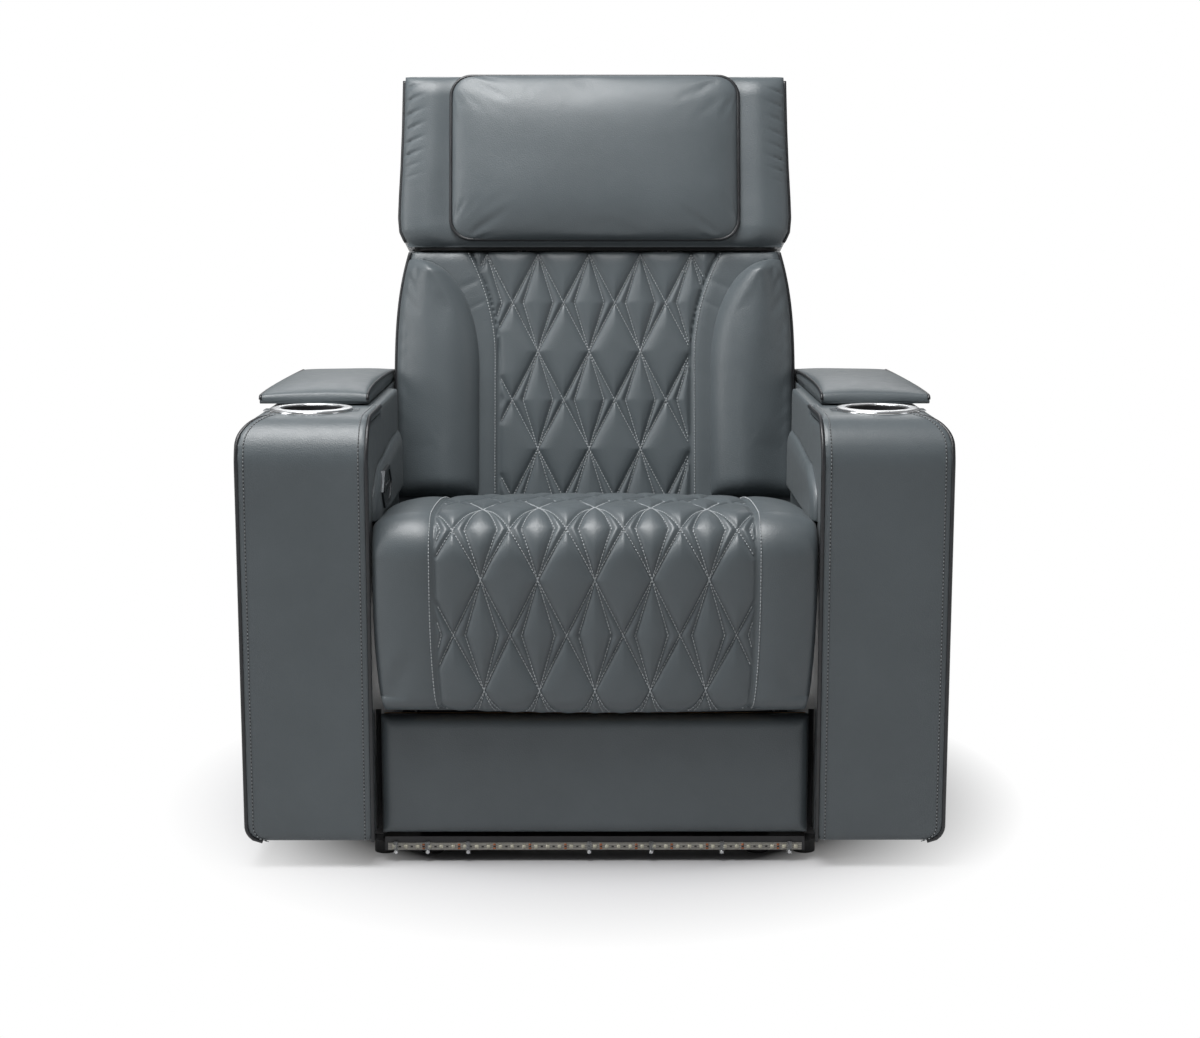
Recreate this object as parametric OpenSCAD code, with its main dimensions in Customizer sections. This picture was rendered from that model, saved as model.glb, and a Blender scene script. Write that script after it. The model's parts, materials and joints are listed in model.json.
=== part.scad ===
// Cinema recliner seat: two wide arms with cup holders and storage lids, a quilted seat, a footrest
// that folds under the seat, a reclining back and a tilting head section.
// +Z is up, the seat faces -Y, and the origin lies on the floor under the middle of the whole.
// A depth "d" counts back from the foremost face of the seat's lip.

/* [Overall] */
// Width over both arms
overall_w = 960; // [900:10:1020]
// Thickness of a padded leather panel
panel_t = 12; // [10:1:14]
// Thickness of the plywood boards
board_t = 16; // [12:1:20]

/* [Arms] */
// Width of one arm
arm_w = 176; // [170:2:190]
// Depth of the arm's front face
arm_front_d = 18; // [14:1:24]
// Length of an arm
arm_len = 702; // [680:10:740]
// Height of the arm's underside
arm_foot_z = 38; // [34:1:42]
// Height of the arm's deck
arm_top_z = 620; // [600:5:640]
// Radius of the outer top edge
arm_shoulder_r = 35; // [28:1:40]
// Radius of the outer bottom edge
arm_heel_r = 22; // [16:1:26]
// Radius where the front rolls over into the deck
arm_nose_r = 65; // [50:1:80]
// How far before the back's front face the arm narrows to let it pass
arm_jog_lead = 62; // [54:2:78]
// How much the arm's inner side steps outward there
arm_jog = 16; // [14:1:18]

/* [Cup holders] */
// Inner radius of the cup
cup_r = 41; // [38:0.5:44]
// Depth of the cup
cup_depth = 75; // [60:1:90]
// Distance of the cup's axis behind the arm's front
cup_back = 120; // [112:1:126]
// Width of the flange round the cup
cup_flange_w = 16.5; // [12:0.5:18]
// Sheet thickness of the cup
cup_wall = 2; // [1.5:0.1:3]

/* [Storage lids] */
// Depth of the lid's front edge behind the arm's front
lid_front = 190; // [188:1:200]
// Length of the lid
lid_len = 432; // [400:2:440]
// Gap between the arm's inner side and the lid
lid_inset = 18; // [17:1:22]
// Gap between the arm's outer side and the lid
lid_outset = 5; // [3:1:14]
// Height of the padded part of the lid
lid_pad_h = 20; // [14:1:26]
// Height of the lid's tray
lid_tray_h = 10; // [8:1:12]
// Width of the storage bin, inside
bin_w = 95; // [80:1:98]
// Length of the storage bin, inside
bin_len = 270; // [200:2:274]
// Depth of the storage bin
bin_depth = 180; // [120:5:260]

/* [Seat] */
// Half width of the seat cushion
seat_half_w = 300; // [290:1:301]
// Depth of the seat cushion
seat_d = 484; // [470:1:486]
// Height of the seat's crest
seat_top_z = 497; // [480:1:505]
// Height of the lip's lower edge
lip_foot_z = 218; // [216:1:224]
// Thickness of the lip
lip_t = 38; // [34:1:38]
// Height of the cushion's underside
seat_under_z = 360; // [360:1:366]
// Half width of the quilted field
quilt_half_w = 216; // [206:1:222]
// Depth of the sewn valleys
quilt_valley = 7; // [4:0.5:10]

/* [Footrest] */
// Depth of the footrest hinge
leg_hinge_d = 60; // [60:0.5:61]
// Height of the footrest hinge
leg_hinge_z = 340; // [340:0.5:341]
// Half width of the footrest panel
leg_half_w = 294; // [280:1:298]
// Lower edge of the footrest panel
leg_foot_z = 42; // [42:1:60]
// Upper edge of the footrest panel
leg_top_z = 208; // [200:1:209]
// Thickness of the footrest panel, pad and board
leg_t = 38; // [36:1:40]
// Middle radius of the gooseneck arms
gooseneck_r = 150; // [150:0.5:151]
// Width of the gooseneck arms
gooseneck_w = 24; // [20:1:24]

/* [Back] */
// Lean of the back from upright at rest
lean = 12; // [10:0.5:13]
// Distance from the seat cushion's rear end to the back's front face, at the height below
back_gap = 34; // [32:1:46]
// Height at which that distance counts
back_z = 470; // [465:1:475]
// Half width of the back at the arms
back_half_w = 318; // [310:1:318]
// Half width of the back's waist, under the head section
waist_half_w = 296; // [285:1:302]
// Lower edge of the back, along it from that height
back_foot_v = -112; // [-112:1:-105]
// Upper edge of the back
back_top_v = 365; // [355:1:366]
// Whole thickness of the back
back_t = 200; // [190:1:220]
// Thickness of the back's padding
back_pad_t = 52; // [48:1:56]
// Height that the side bolsters stand out
bolster_h = 42; // [30:1:45]
// Distance of the back hinge behind the back's front face
back_hinge_back = 2; // [1:0.5:4]
// Height of the back hinge
back_hinge_z = 335; // [334:0.5:336]

/* [Head section] */
// Lower edge of the head section, along the back
head_foot_v = 377; // [377:1:384]
// Upper edge of the head section
head_top_v = 643; // [620:1:660]
// Half width of the head section
head_half_w = 307; // [298:1:312]
// Half width of the pillow
pillow_half_w = 230; // [210:1:236]
// Thickness of the pillow
pillow_t = 45; // [35:1:50]

/* [Frame] */
// Width of the steel rails
rail_w = 30; // [26:1:32]
// Distance of a rail's middle from the seat's middle
rail_x = 229; // [226:1:230]
// Thickness of the steel plates
plate_t = 5; // [4:0.5:6]
// Height of the floor glides
glide_h = 30; // [28:1:30]
// Radius of the floor glides
glide_r = 16; // [14:1:18]

/* [Hidden] */

$fn = 48;
// Overrun of every cut
over = 1;
// Clearance between a soft form and what it lies on
rest_gap = 0.3;
// Thickness of a soft form at its thinnest edge
soft_edge_t = 1;
// Running clearance round a pin
run_gap = 0.05;

arm_out = overall_w / 2;
arm_in = arm_out - arm_w;
arm_mid = (arm_out + arm_in) / 2;
arm_rear_d = arm_front_d + arm_len;
arm_edge_r = 6;
arm_least_r = 1;
shell_top_x = arm_out - arm_shoulder_r;
arm_board_in = arm_in + panel_t;
arm_board_out = arm_out - panel_t;
arm_core_in = arm_board_in + board_t;
arm_floor_z = arm_foot_z + panel_t;
arm_ceiling_z = arm_top_z - panel_t;
lid_front_d = arm_front_d + lid_front;

back_d = seat_d + back_gap;
back_hinge_d = back_d + back_hinge_back;
arm_jog_d = back_d - arm_jog_lead;
back_corner_r = 30;
overall_d = back_d + (back_t - back_corner_r) * cos(lean) + (head_top_v - back_corner_r) * sin(lean)
  + back_corner_r;

rail_top_z = glide_h + rail_w;
post_out = rail_x + rail_w / 2;
post_in = rail_x - rail_w / 2;

// Y of a depth counted from the foremost face
function dy(d) = d - overall_d / 2;
// Depth and height of a point given by its angle and radius round the footrest hinge
function leg_turn(r, a) = [dy(leg_hinge_d) + r * cos(a), leg_hinge_z + r * sin(a)];

// Extrudes an outline drawn in depth and height along X, from x0 to x1
module along_x(x0, x1) {
  translate([x0, 0, 0]) rotate([90, 0, 90]) linear_extrude(x1 - x0) children();
}

// Extrudes an outline drawn in X and height along Y, from depth d0 to d1
module along_d(d0, d1) {
  translate([0, dy(d1), 0]) rotate([90, 0, 0]) linear_extrude(d1 - d0) children();
}

// A block between two corners given as [x, depth, z]
module block(low, high) {
  translate([low[0], dy(low[1]), low[2]]) cube(high - low);
}

// A round bar along X between two places
module bar_x(x0, x1, d, z, r) {
  translate([x0, dy(d), z]) rotate([0, 90, 0]) cylinder(h = x1 - x0, r = r);
}

module both_sides() {
  children();
  mirror([1, 0, 0]) children();
}

module on_left() {
  mirror([1, 0, 0]) children();
}

// The back's own frame: y runs back from its front face, z runs up along it
module in_back() {
  translate([0, dy(back_d), back_z]) rotate([-lean, 0, 0]) children();
}

module slab_x(x0, x1) {
  translate([x0, 0, 0]) rotate([90, 0, 90]) linear_extrude(x1 - x0) children();
}

module slab_t(t0, t1) {
  translate([0, t1, 0]) rotate([90, 0, 0]) linear_extrude(t1 - t0) children();
}

module brick(low, high) {
  translate(low) cube(high - low);
}

// The waste outside a quarter round in the corner at the origin
module corner_waste(r) {
  difference() {
    translate([-over, -over]) square(r + over);
    translate([r, r]) circle(r);
  }
}

// A rectangle with its own radius at each corner, counted from the low left one anticlockwise
module round_rect(low, high, radii) {
  difference() {
    translate(low) square(high - low);
    translate(low) corner_waste(radii[0]);
    translate([high[0], low[1]]) mirror([1, 0]) corner_waste(radii[1]);
    translate(high) rotate(180) corner_waste(radii[2]);
    translate([low[0], high[1]]) mirror([0, 1]) corner_waste(radii[3]);
  }
}

// The order of a grid's edge points, once round
function rim(rows, cols) = concat(
  [for (c = [0 : cols - 1]) [0, c]],
  [for (r = [1 : rows - 1]) [r, cols - 1]],
  [for (c = [cols - 2 : -1 : 0]) [rows - 1, c]],
  [for (r = [rows - 2 : -1 : 1]) [r, 0]]
);

// A padded form: a grid of face points, and behind its edge a ring of points that lie where it rests.
// The diagonals alternate, so sewn valleys run along the triangles' edges. Behind, strips join the
// ring's two sides row by row, and fans close the first and the last strip.
module padded(face, ring, shift = 0) {
  rows = len(face);
  cols = len(face[0]);
  edge = rim(rows, cols);
  n = rows * cols;
  m = len(edge);
  last = rows - 1;
  wide = cols - 1;
  function id(r, c) = r * cols + c;
  function left(r) = n + (r == 0 ? 0 : m - r);
  function right(r) = n + wide + r;
  function low(c) = n + 2 * wide + last - c;
  tops = [for (r = [0 : rows - 2], c = [0 : cols - 2])
    each (r + c + shift) % 2 == 0
      ? [[id(r, c), id(r, c + 1), id(r + 1, c + 1)], [id(r, c), id(r + 1, c + 1), id(r + 1, c)]]
      : [[id(r, c), id(r, c + 1), id(r + 1, c)], [id(r, c + 1), id(r + 1, c + 1), id(r + 1, c)]]];
  walls = [for (k = [0 : m - 1])
    let (a = id(edge[k][0], edge[k][1]), e = edge[(k + 1) % m], b = id(e[0], e[1]))
    each [[b, a, n + k], [b, n + k, n + (k + 1) % m]]];
  strips = [for (r = [1 : last - 2])
    each [[right(r + 1), right(r), left(r)], [right(r + 1), left(r), left(r + 1)]]];
  fans = concat(
    [for (c = [0 : wide - 1]) [left(1), n + c + 1, n + c]], [[left(1), right(1), right(0)]],
    [for (c = [0 : wide - 1]) [right(last - 1), low(c), low(c + 1)]],
    [[right(last - 1), left(last - 1), left(last)]]);
  polyhedron(points = concat([for (row = face) each row], ring), faces = concat(tops, walls, strips, fans));
}

// Rounding of a padded edge: 0 at the edge, 1 from share q of the half width inward
function roll(share, q) = share >= q ? 1 : sqrt(1 - pow(1 - share / q, 2));

rail_front_d = 78;
rail_rear_in = 50;
rail_rear_d = arm_rear_d - rail_rear_in;
foot_bar_w = 36;
foot_front_d = 98;
foot_rear_in = 80;
foot_rear_d = arm_rear_d - foot_rear_in;
foot_outer_x = 295;

low_bar_front_d = 110;
low_bar_mid_d = 225;
low_bar_rear_d = 405;
post_front_d = 165;
post_rear_lead = 44;
post_rear_d = back_hinge_d - post_rear_lead;
plate_low_z = 290;
plate_top_z = 352;
tie_low_z = 90;
tie_wall = 2;

// Welded steel base: rails, low bars, posts under the side plates, foot bars and ties to the arms
module base_frame() {
  color("#2a2b2d") {
    both_sides() {
      block([post_in, rail_front_d, glide_h], [post_out, rail_rear_d, rail_top_z]);
      for (d = [post_front_d, post_rear_d]) {
        block([post_in, d, rail_top_z], [post_out, d + rail_w, plate_top_z]);
        difference() {
          block([post_out, d, tie_low_z], [tie_end(d), d + rail_w, tie_low_z + rail_w]);
          block([post_out + over, d + tie_wall, tie_low_z + tie_wall],
            [tie_end(d) + over, d + rail_w - tie_wall, tie_low_z + rail_w - tie_wall]);
        }
      }
      for (d = [foot_front_d, foot_rear_d]) block([post_out, d - foot_bar_w / 2, glide_h],
        [foot_outer_x + glide_r, d + foot_bar_w / 2, arm_foot_z]);
    }
    for (d = [low_bar_front_d, low_bar_mid_d, low_bar_rear_d])
      block([-post_in, d, glide_h], [post_in, d + rail_w, rail_top_z]);
  }
}
function tie_end(d) = d < arm_jog_d ? arm_in : arm_in + arm_jog;

glide_neck_r = 9;
glide_neck_h = 6;

module floor_glides() {
  color("#17181a") both_sides() for (d = [foot_front_d, foot_rear_d], x = [rail_x, foot_outer_x])
    translate([x, dy(d), 0]) {
      cylinder(h = glide_h - glide_neck_h, r = glide_r, $fn = 32);
      cylinder(h = glide_h, r = glide_neck_r, $fn = 32);
    }
}

light_half_w = 291;
light_foot_z = 16;
light_top_z = 36;
light_face_d = 48;
light_lip = 4;
strip_z = 22;
strip_h = 10;
strip_t = 1.5;
clip_w = 6;
clip_t = 2;
clip_x = [-276, -232, -176, -8, 78, 176, 270];

// Black channel along the front that carries the strip of small lights
module light_carrier() {
  color("#1b1c1e") along_x(-light_half_w, light_half_w) difference() {
    polygon([[dy(light_face_d), light_foot_z], [dy(rail_front_d), light_foot_z],
      [dy(rail_front_d), light_top_z], [dy(light_face_d), light_top_z]]);
    translate([dy(light_face_d + light_lip), light_foot_z - over])
      square([rail_front_d - light_face_d - 2 * light_lip, light_top_z - light_foot_z - light_lip + over]);
  }
}

module light_strip() {
  color("#e8e4d8") block([-light_half_w + light_lip, light_face_d - strip_t, strip_z - strip_h / 2],
    [light_half_w - light_lip, light_face_d, strip_z + strip_h / 2]);
}

module light_clips() {
  color("#d5dde0") for (x = clip_x) difference() {
    block([x - clip_w / 2, light_face_d - strip_t - clip_t, strip_z - strip_h],
      [x + clip_w / 2, light_face_d, strip_z + strip_h / 2 + clip_t]);
    block([x - clip_w / 2 - over, light_face_d - strip_t, strip_z - strip_h / 2],
      [x + clip_w / 2 + over, light_face_d + over, strip_z + strip_h / 2]);
  }
}

supply_x = -150;
supply_w = 100;
supply_h = 46;
inlet_w = 21;
inlet_h = 9;
inlet_deep = 14;
inlet_z = rail_top_z + supply_h / 2;

// Power supply on the low bars, with the recess of its two-pole inlet at the back
module power_supply() {
  color("#1d1e20") difference() {
    block([supply_x - supply_w / 2, low_bar_mid_d, rail_top_z],
      [supply_x + supply_w / 2, low_bar_rear_d + rail_w, rail_top_z + supply_h]);
    block([supply_x - inlet_w / 2, low_bar_rear_d + rail_w - inlet_deep, inlet_z - inlet_h / 2],
      [supply_x + inlet_w / 2, low_bar_rear_d + rail_w + over, inlet_z + inlet_h / 2]);
  }
}

leg_tube_r = 10;
bush_wall = 3;
boss_r = 18;
back_pin_r = 8;

// Steel plates at both sides of the seat: they hold the footrest's tube and the back's pins
module side_plates() {
  color("#3a3c3f") both_sides() along_x(post_out, post_out + plate_t) difference() {
    union() {
      translate([dy(leg_hinge_d), leg_hinge_z]) circle(boss_r);
      translate([dy(back_hinge_d), back_hinge_z]) circle(boss_r);
      translate([dy(leg_hinge_d), plate_low_z])
        square([back_hinge_d - leg_hinge_d, plate_top_z - plate_low_z]);
      translate([dy(leg_hinge_d) - boss_r, leg_hinge_z - boss_r]) square([boss_r, boss_r]);
      translate([dy(back_hinge_d), plate_low_z]) square([boss_r, back_hinge_z - plate_low_z]);
    }
    translate([dy(leg_hinge_d), leg_hinge_z]) circle(leg_tube_r + bush_wall);
    translate([dy(back_hinge_d), back_hinge_z]) circle(back_pin_r + bush_wall);
  }
}

cross_front_d = 240;
cross_front_z = 328;
cross_rear_lead = 80;
cross_rear_d = back_hinge_d - cross_rear_lead;
cross_r = 12;
cross_wall = 2;

module cross_tubes() {
  color("#3a3c3f")
    for (p = [[cross_front_d, cross_front_z], [cross_rear_d, spring_top_z - spring_t - cross_r]])
      difference() {
        bar_x(-post_out, post_out, p[0], p[1], cross_r);
        bar_x(-post_out - over, post_out + over, p[0], p[1], cross_r - cross_wall);
      }
}

// Bushes in the side plates round the footrest's tube and the back's pins
module hinge_bushes() {
  color("#b08d57") both_sides() {
    difference() {
      bar_x(post_out, post_out + plate_t, leg_hinge_d, leg_hinge_z, leg_tube_r + bush_wall);
      bar_x(post_out - over, post_out + plate_t + over, leg_hinge_d, leg_hinge_z, leg_tube_r + run_gap);
    }
    difference() {
      bar_x(post_out, post_out + plate_t, back_hinge_d, back_hinge_z, back_pin_r + bush_wall);
      bar_x(post_out - over, post_out + plate_t + over, back_hinge_d, back_hinge_z, back_pin_r + run_gap);
    }
  }
}

pin_head_r = 12;
pin_head_t = 4;
plate_gap = 2;
back_plate_in = post_out + plate_t + plate_gap;
back_plate_t = 6;

module back_hinge_pins() {
  color("#8f9296") both_sides() {
    bar_x(post_out - pin_head_t, back_plate_in + back_plate_t + plate_gap,
      back_hinge_d, back_hinge_z, back_pin_r);
    bar_x(post_out - 2 * pin_head_t, post_out - pin_head_t, back_hinge_d, back_hinge_z, pin_head_r);
    bar_x(post_out - pin_head_t, post_out, back_hinge_d, back_hinge_z, pin_head_r);
  }
}

leg_motor_x = -60;
leg_motor_d = 420;
leg_motor_z = 200;
crank_r = 70;
back_motor_x = 60;
back_motor_d = 230;
back_motor_z = 150;
lug_back = 55;
lug_d = back_hinge_d + lug_back;
lug_z = 240;
motor_pin_r = 5;
motor_lug_t = 5;
motor_lug_r = 12;
motor_tail_t = 14;
motor_gap = 1;

// Two pairs of lugs that hold the motors' tails, each pair with its pin
module actuator_brackets() {
  color("#3a3c3f") {
    for (s = [-1, 1]) {
      along_x(leg_motor_x + s * (motor_tail_t + motor_lug_t) / 2 + s * motor_gap - motor_lug_t / 2,
        leg_motor_x + s * (motor_tail_t + motor_lug_t) / 2 + s * motor_gap + motor_lug_t / 2) union() {
        translate([dy(leg_motor_d), leg_motor_z]) circle(motor_lug_r);
        translate([dy(leg_motor_d) - motor_lug_r, rail_top_z])
          square([2 * motor_lug_r, leg_motor_z - rail_top_z]);
      }
      along_x(back_motor_x + s * (motor_tail_t + motor_lug_t) / 2 + s * motor_gap - motor_lug_t / 2,
        back_motor_x + s * (motor_tail_t + motor_lug_t) / 2 + s * motor_gap + motor_lug_t / 2) union() {
        translate([dy(back_motor_d), back_motor_z]) circle(motor_lug_r);
        translate([dy(back_motor_d) - motor_lug_r, rail_top_z])
          square([2 * motor_lug_r, back_motor_z - rail_top_z]);
      }
    }
    bar_x(leg_motor_x - motor_tail_t / 2 - motor_gap, leg_motor_x + motor_tail_t / 2 + motor_gap,
      leg_motor_d, leg_motor_z, motor_pin_r);
    bar_x(back_motor_x - motor_tail_t / 2 - motor_gap, back_motor_x + motor_tail_t / 2 + motor_gap,
      back_motor_d, back_motor_z, motor_pin_r);
  }
}

front_board_t = 8;

// Plywood board behind the lip
module seat_front_board() {
  color("#b98f5e") block([-post_out, lip_t + rest_gap, lip_foot_z + over],
    [post_out, lip_t + rest_gap + front_board_t, seat_under_z - rest_gap - spring_t]);
}

spring_t = 4;
spring_pitch = 26;
spring_bend_r = 13;
spring_count = 5;
spring_step = 88;
spring_end_bends = 2;
spring_front_d = lip_t + rest_gap;
spring_bends = floor((seat_d - spring_front_d) / spring_pitch) - spring_end_bends;
spring_top_z = seat_under_z - rest_gap;

// One sinuous spring in plan: half rings joined by straight runs
module sinuous(bends, half_w, wire) {
  for (k = [0 : bends - 1]) translate([(k % 2 == 0 ? 1 : -1) * half_w, k * spring_pitch]) {
    intersection() {
      difference() {
        circle(spring_bend_r + wire / 2);
        circle(spring_bend_r - wire / 2);
      }
      translate([(k % 2 == 0 ? 0 : -1) * 2 * spring_bend_r, -2 * spring_bend_r])
        square([2 * spring_bend_r, 4 * spring_bend_r]);
    }
  }
  for (k = [0 : bends])
    translate([-half_w, k * spring_pitch - spring_pitch / 2 - wire / 2]) square([2 * half_w, wire]);
}

module seat_springs() {
  color("#77797c") for (k = [0 : spring_count - 1])
    translate([(k - (spring_count - 1) / 2) * spring_step, dy(spring_front_d) + spring_bend_r + spring_t / 2,
      spring_top_z - spring_t])
      linear_extrude(spring_t) sinuous(spring_bends, spring_bend_r, spring_t, $fn = 16);
}

// The arm seen from the front: rounded shoulder and heel on its outer side
module arm_section(inset) {
  round_rect([arm_in + inset, arm_foot_z + inset], [arm_out - inset, arm_top_z - inset],
    [arm_edge_r, max(arm_heel_r - inset, arm_least_r), max(arm_shoulder_r - inset, arm_least_r), arm_edge_r]);
}

// The arm seen from the side: its front rolls over into the deck
module arm_side(inset) {
  round_rect([dy(arm_front_d) + inset, arm_foot_z - over], [dy(arm_rear_d) + over, arm_top_z - inset],
    [0, 0, 0, arm_nose_r - inset]);
}

// Plan of the arm's inner side, which steps outward where the back passes
module arm_inner_plan(inset) {
  polygon([[arm_in + inset, dy(arm_front_d)], [arm_in + inset, dy(arm_jog_d) - inset / 2],
    [arm_in + arm_jog + inset, dy(arm_jog_d) + arm_jog - inset / 2],
    [arm_in + arm_jog + inset, dy(arm_rear_d)],
    [arm_out, dy(arm_rear_d)], [arm_out, dy(arm_front_d)]]);
}

// Plywood frame: inner board, floor, front, rear and two cross boards, and the top board
module arm_frame() {
  color("#b98f5e") difference() {
    intersection() {
      along_x(arm_board_in, arm_board_out) arm_side(panel_t);
      along_d(arm_front_d + panel_t, arm_rear_d - panel_t) arm_section(panel_t);
      union() {
        block([arm_board_in, arm_front_d, arm_floor_z], [arm_core_in, arm_jog_d - board_t, arm_ceiling_z]);
        block([arm_core_in, arm_front_d, arm_floor_z], [arm_board_out, arm_rear_d, arm_floor_z + board_t]);
        block([arm_core_in, arm_front_d, arm_floor_z],
          [arm_board_out, arm_front_d + panel_t + board_t, arm_ceiling_z]);
        for (d = [lid_front_d - board_t, bin_front_d + bin_len + 2 * board_t])
          block([arm_core_in, d, arm_floor_z], [arm_board_out, d + board_t, arm_ceiling_z]);
        block([arm_core_in, arm_rear_d - panel_t - board_t, arm_floor_z],
          [arm_board_out, arm_rear_d, arm_ceiling_z]);
        block([arm_core_in, arm_front_d, arm_ceiling_z - board_t], [shell_top_x, arm_rear_d, arm_ceiling_z]);
      }
    }
    cup_hole();
    block([bin_in - bin_wall - over, bin_front_d - bin_wall - over, arm_floor_z + board_t + over],
      [bin_in + bin_w + bin_wall + over, bin_front_d + bin_len + bin_wall + over, arm_top_z]);
  }
}
cup_d = arm_front_d + cup_back;
bin_wall = 3;
bin_side_gap = 9;
bin_front_gap = 22;
bin_in = arm_core_in + bin_side_gap;
bin_front_d = lid_front_d + bin_front_gap;
deck_frame_w = 8;

// The round hole that the cup hangs in
module cup_hole() {
  translate([arm_mid, dy(cup_d), arm_ceiling_z - board_t - over])
    cylinder(h = panel_t + board_t + 2 * over, r = cup_r + cup_wall + over);
}

// Padded panel that runs up the front and rolls over the top to the lid
module arm_front() {
  color("#5b6670") difference() {
    intersection() {
      along_x(arm_in, arm_out) difference() {
        arm_side(0);
        arm_side(panel_t);
      }
      along_d(arm_front_d, lid_front_d) arm_section(0);
      union() {
        block([arm_in, 0, 0], [arm_out, arm_front_d + arm_nose_r, arm_top_z + over]);
        block([arm_in, 0, 0], [shell_top_x, lid_front_d, arm_top_z + over]);
      }
    }
    cup_hole();
  }
}

// Padded panel over the outer side, the heel, the shoulder and the rear end
module arm_outer() {
  color("#535e68") difference() {
    intersection() {
      along_d(arm_front_d + panel_t, arm_rear_d) arm_section(0);
      along_x(arm_in, arm_out) union() {
        arm_side(panel_t);
        translate([dy(arm_front_d + arm_nose_r), arm_foot_z]) square([arm_len, arm_top_z]);
      }
      translate([0, 0, arm_foot_z]) linear_extrude(arm_top_z) arm_inner_plan(panel_t);
    }
    along_d(0, arm_rear_d - panel_t) arm_section(panel_t);
    block([0, 0, arm_ceiling_z], [shell_top_x, arm_rear_d - panel_t, arm_top_z + over]);
    block([0, 0, 0], [arm_core_in + board_t, arm_rear_d - panel_t, arm_floor_z]);
  }
}

// Inner panel, and the leather-covered deck round the storage bin and under the lid's hinge
module arm_inner() {
  color("#4c5660") {
    intersection() {
      translate([0, 0, arm_foot_z]) linear_extrude(arm_ceiling_z - arm_foot_z) difference() {
        arm_inner_plan(0);
        arm_inner_plan(panel_t);
        translate([0, dy(arm_front_d)]) square([arm_out, panel_t]);
      }
      along_x(arm_in, arm_out) arm_side(panel_t);
    }
    difference() {
      translate([0, 0, arm_ceiling_z]) linear_extrude(panel_t) intersection() {
        arm_inner_plan(0);
        translate([arm_in, dy(lid_front_d)])
          square([shell_top_x - arm_in, arm_rear_d - panel_t - lid_front_d]);
      }
      block([bin_in - deck_frame_w - over, bin_front_d - deck_frame_w - over, arm_foot_z],
        [bin_in + bin_w + deck_frame_w + over, bin_front_d + bin_len + deck_frame_w + over,
          arm_top_z + over]);
    }
  }
}

bin_flange_t = 2.5;

// Storage bin: a moulded box that hangs by its flange in the top board
module bin() {
  color("#1c1d1f") difference() {
    union() {
      block([bin_in - bin_wall, bin_front_d - bin_wall, arm_ceiling_z - bin_depth - bin_wall],
        [bin_in + bin_w + bin_wall, bin_front_d + bin_len + bin_wall, arm_ceiling_z]);
      block([bin_in - deck_frame_w, bin_front_d - deck_frame_w, arm_ceiling_z],
        [bin_in + bin_w + deck_frame_w, bin_front_d + bin_len + deck_frame_w, arm_ceiling_z + bin_flange_t]);
    }
    block([bin_in, bin_front_d, arm_ceiling_z - bin_depth],
      [bin_in + bin_w, bin_front_d + bin_len, arm_top_z]);
  }
}

cup_flange_t = 3;
cup_floor_t = 2;
cup_ear_w = 26;
cup_ear_len = 9;
cup_rim_share = 0.8;

// Steel cup with a broad flange and two small ears
module cup() {
  color("#d4d6d8") translate([arm_mid, dy(cup_d), 0]) {
    rotate_extrude($fn = 96) {
      translate([cup_r, arm_top_z - cup_depth]) square([cup_wall, cup_depth + cup_flange_t / 2]);
      translate([0, arm_top_z - cup_depth]) square([cup_r + cup_wall, cup_floor_t]);
      difference() {
        translate([cup_r, arm_top_z]) square([cup_flange_w, cup_flange_t]);
        translate([cup_r, arm_top_z + cup_flange_t]) rotate(-90) corner_waste(cup_flange_t / 2, $fn = 16);
        translate([cup_r + cup_flange_w, arm_top_z + cup_flange_t]) rotate(180)
          corner_waste(cup_flange_t * cup_rim_share, $fn = 16);
      }
    }
    for (s = [-1, 1])
      translate([s * (cup_r + cup_flange_w + cup_ear_len / 2 - over), 0, arm_top_z + cup_flange_t / 4])
        cube([cup_ear_len, cup_ear_w, cup_flange_t / 2], center = true);
  }
}

arm_bolster_t = 10;
arm_bolster_foot_z = 478;
arm_bolster_top_z = 544;
arm_bolster_front_d = 70;
arm_bolster_rear_gap = 16;
arm_bolster_rear_d = arm_jog_d - arm_bolster_rear_gap;
arm_bolster_sweep = 60;
arm_bolster_sweep_share = 0.98;
arm_bolster_round_shares = [0.12, 0.4];
arm_bolster_rows = 7;
arm_bolster_cols = 9;

// Front edge of the bolster, which sweeps back toward its top
function bolster_front(q) = arm_bolster_front_d + arm_bolster_sweep * (1 - sqrt(1 - pow(q, 2)));

// Padded bolster along the arm's inner side
module arm_bolster() {
  rows = arm_bolster_rows;
  cols = arm_bolster_cols;
  function place(r, c, proud) =
    let (q = r / (rows - 1) * arm_bolster_sweep_share, f = bolster_front(q), w = c / (cols - 1))
    [arm_in - proud, dy(f + (arm_bolster_rear_d - f) * w),
      arm_bolster_foot_z + (arm_bolster_top_z - arm_bolster_foot_z) * r / (rows - 1)];
  function proud(r, c) = soft_edge_t + (arm_bolster_t - soft_edge_t)
    * roll(min(c, cols - 1 - c) / (cols - 1), arm_bolster_round_shares[0])
    * roll((rows - 1 - r) / (rows - 1), arm_bolster_round_shares[1]);
  color("#4c5660") padded(
    [for (r = [0 : rows - 1]) [for (c = [0 : cols - 1]) place(r, c, proud(r, c))]],
    [for (e = rim(rows, cols)) place(e[0], e[1], 0)]);
}

panel_back = 149;
panel_z = 510;
panel_len = 121;
panel_h = 52;
panel_tip = 26;
panel_proud = 2.5;
panel_face_x = arm_in - arm_bolster_t - panel_proud;
panel_rim = 5;
panel_deep = 2;
panel_floor_x = panel_face_x + panel_deep;
button_r = 6;
button_step = 19;
button_proud = 1.5;
button_travel = 1.5;
button_len = 7;
button_gap = 0.2;
button_count = 4;

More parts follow.
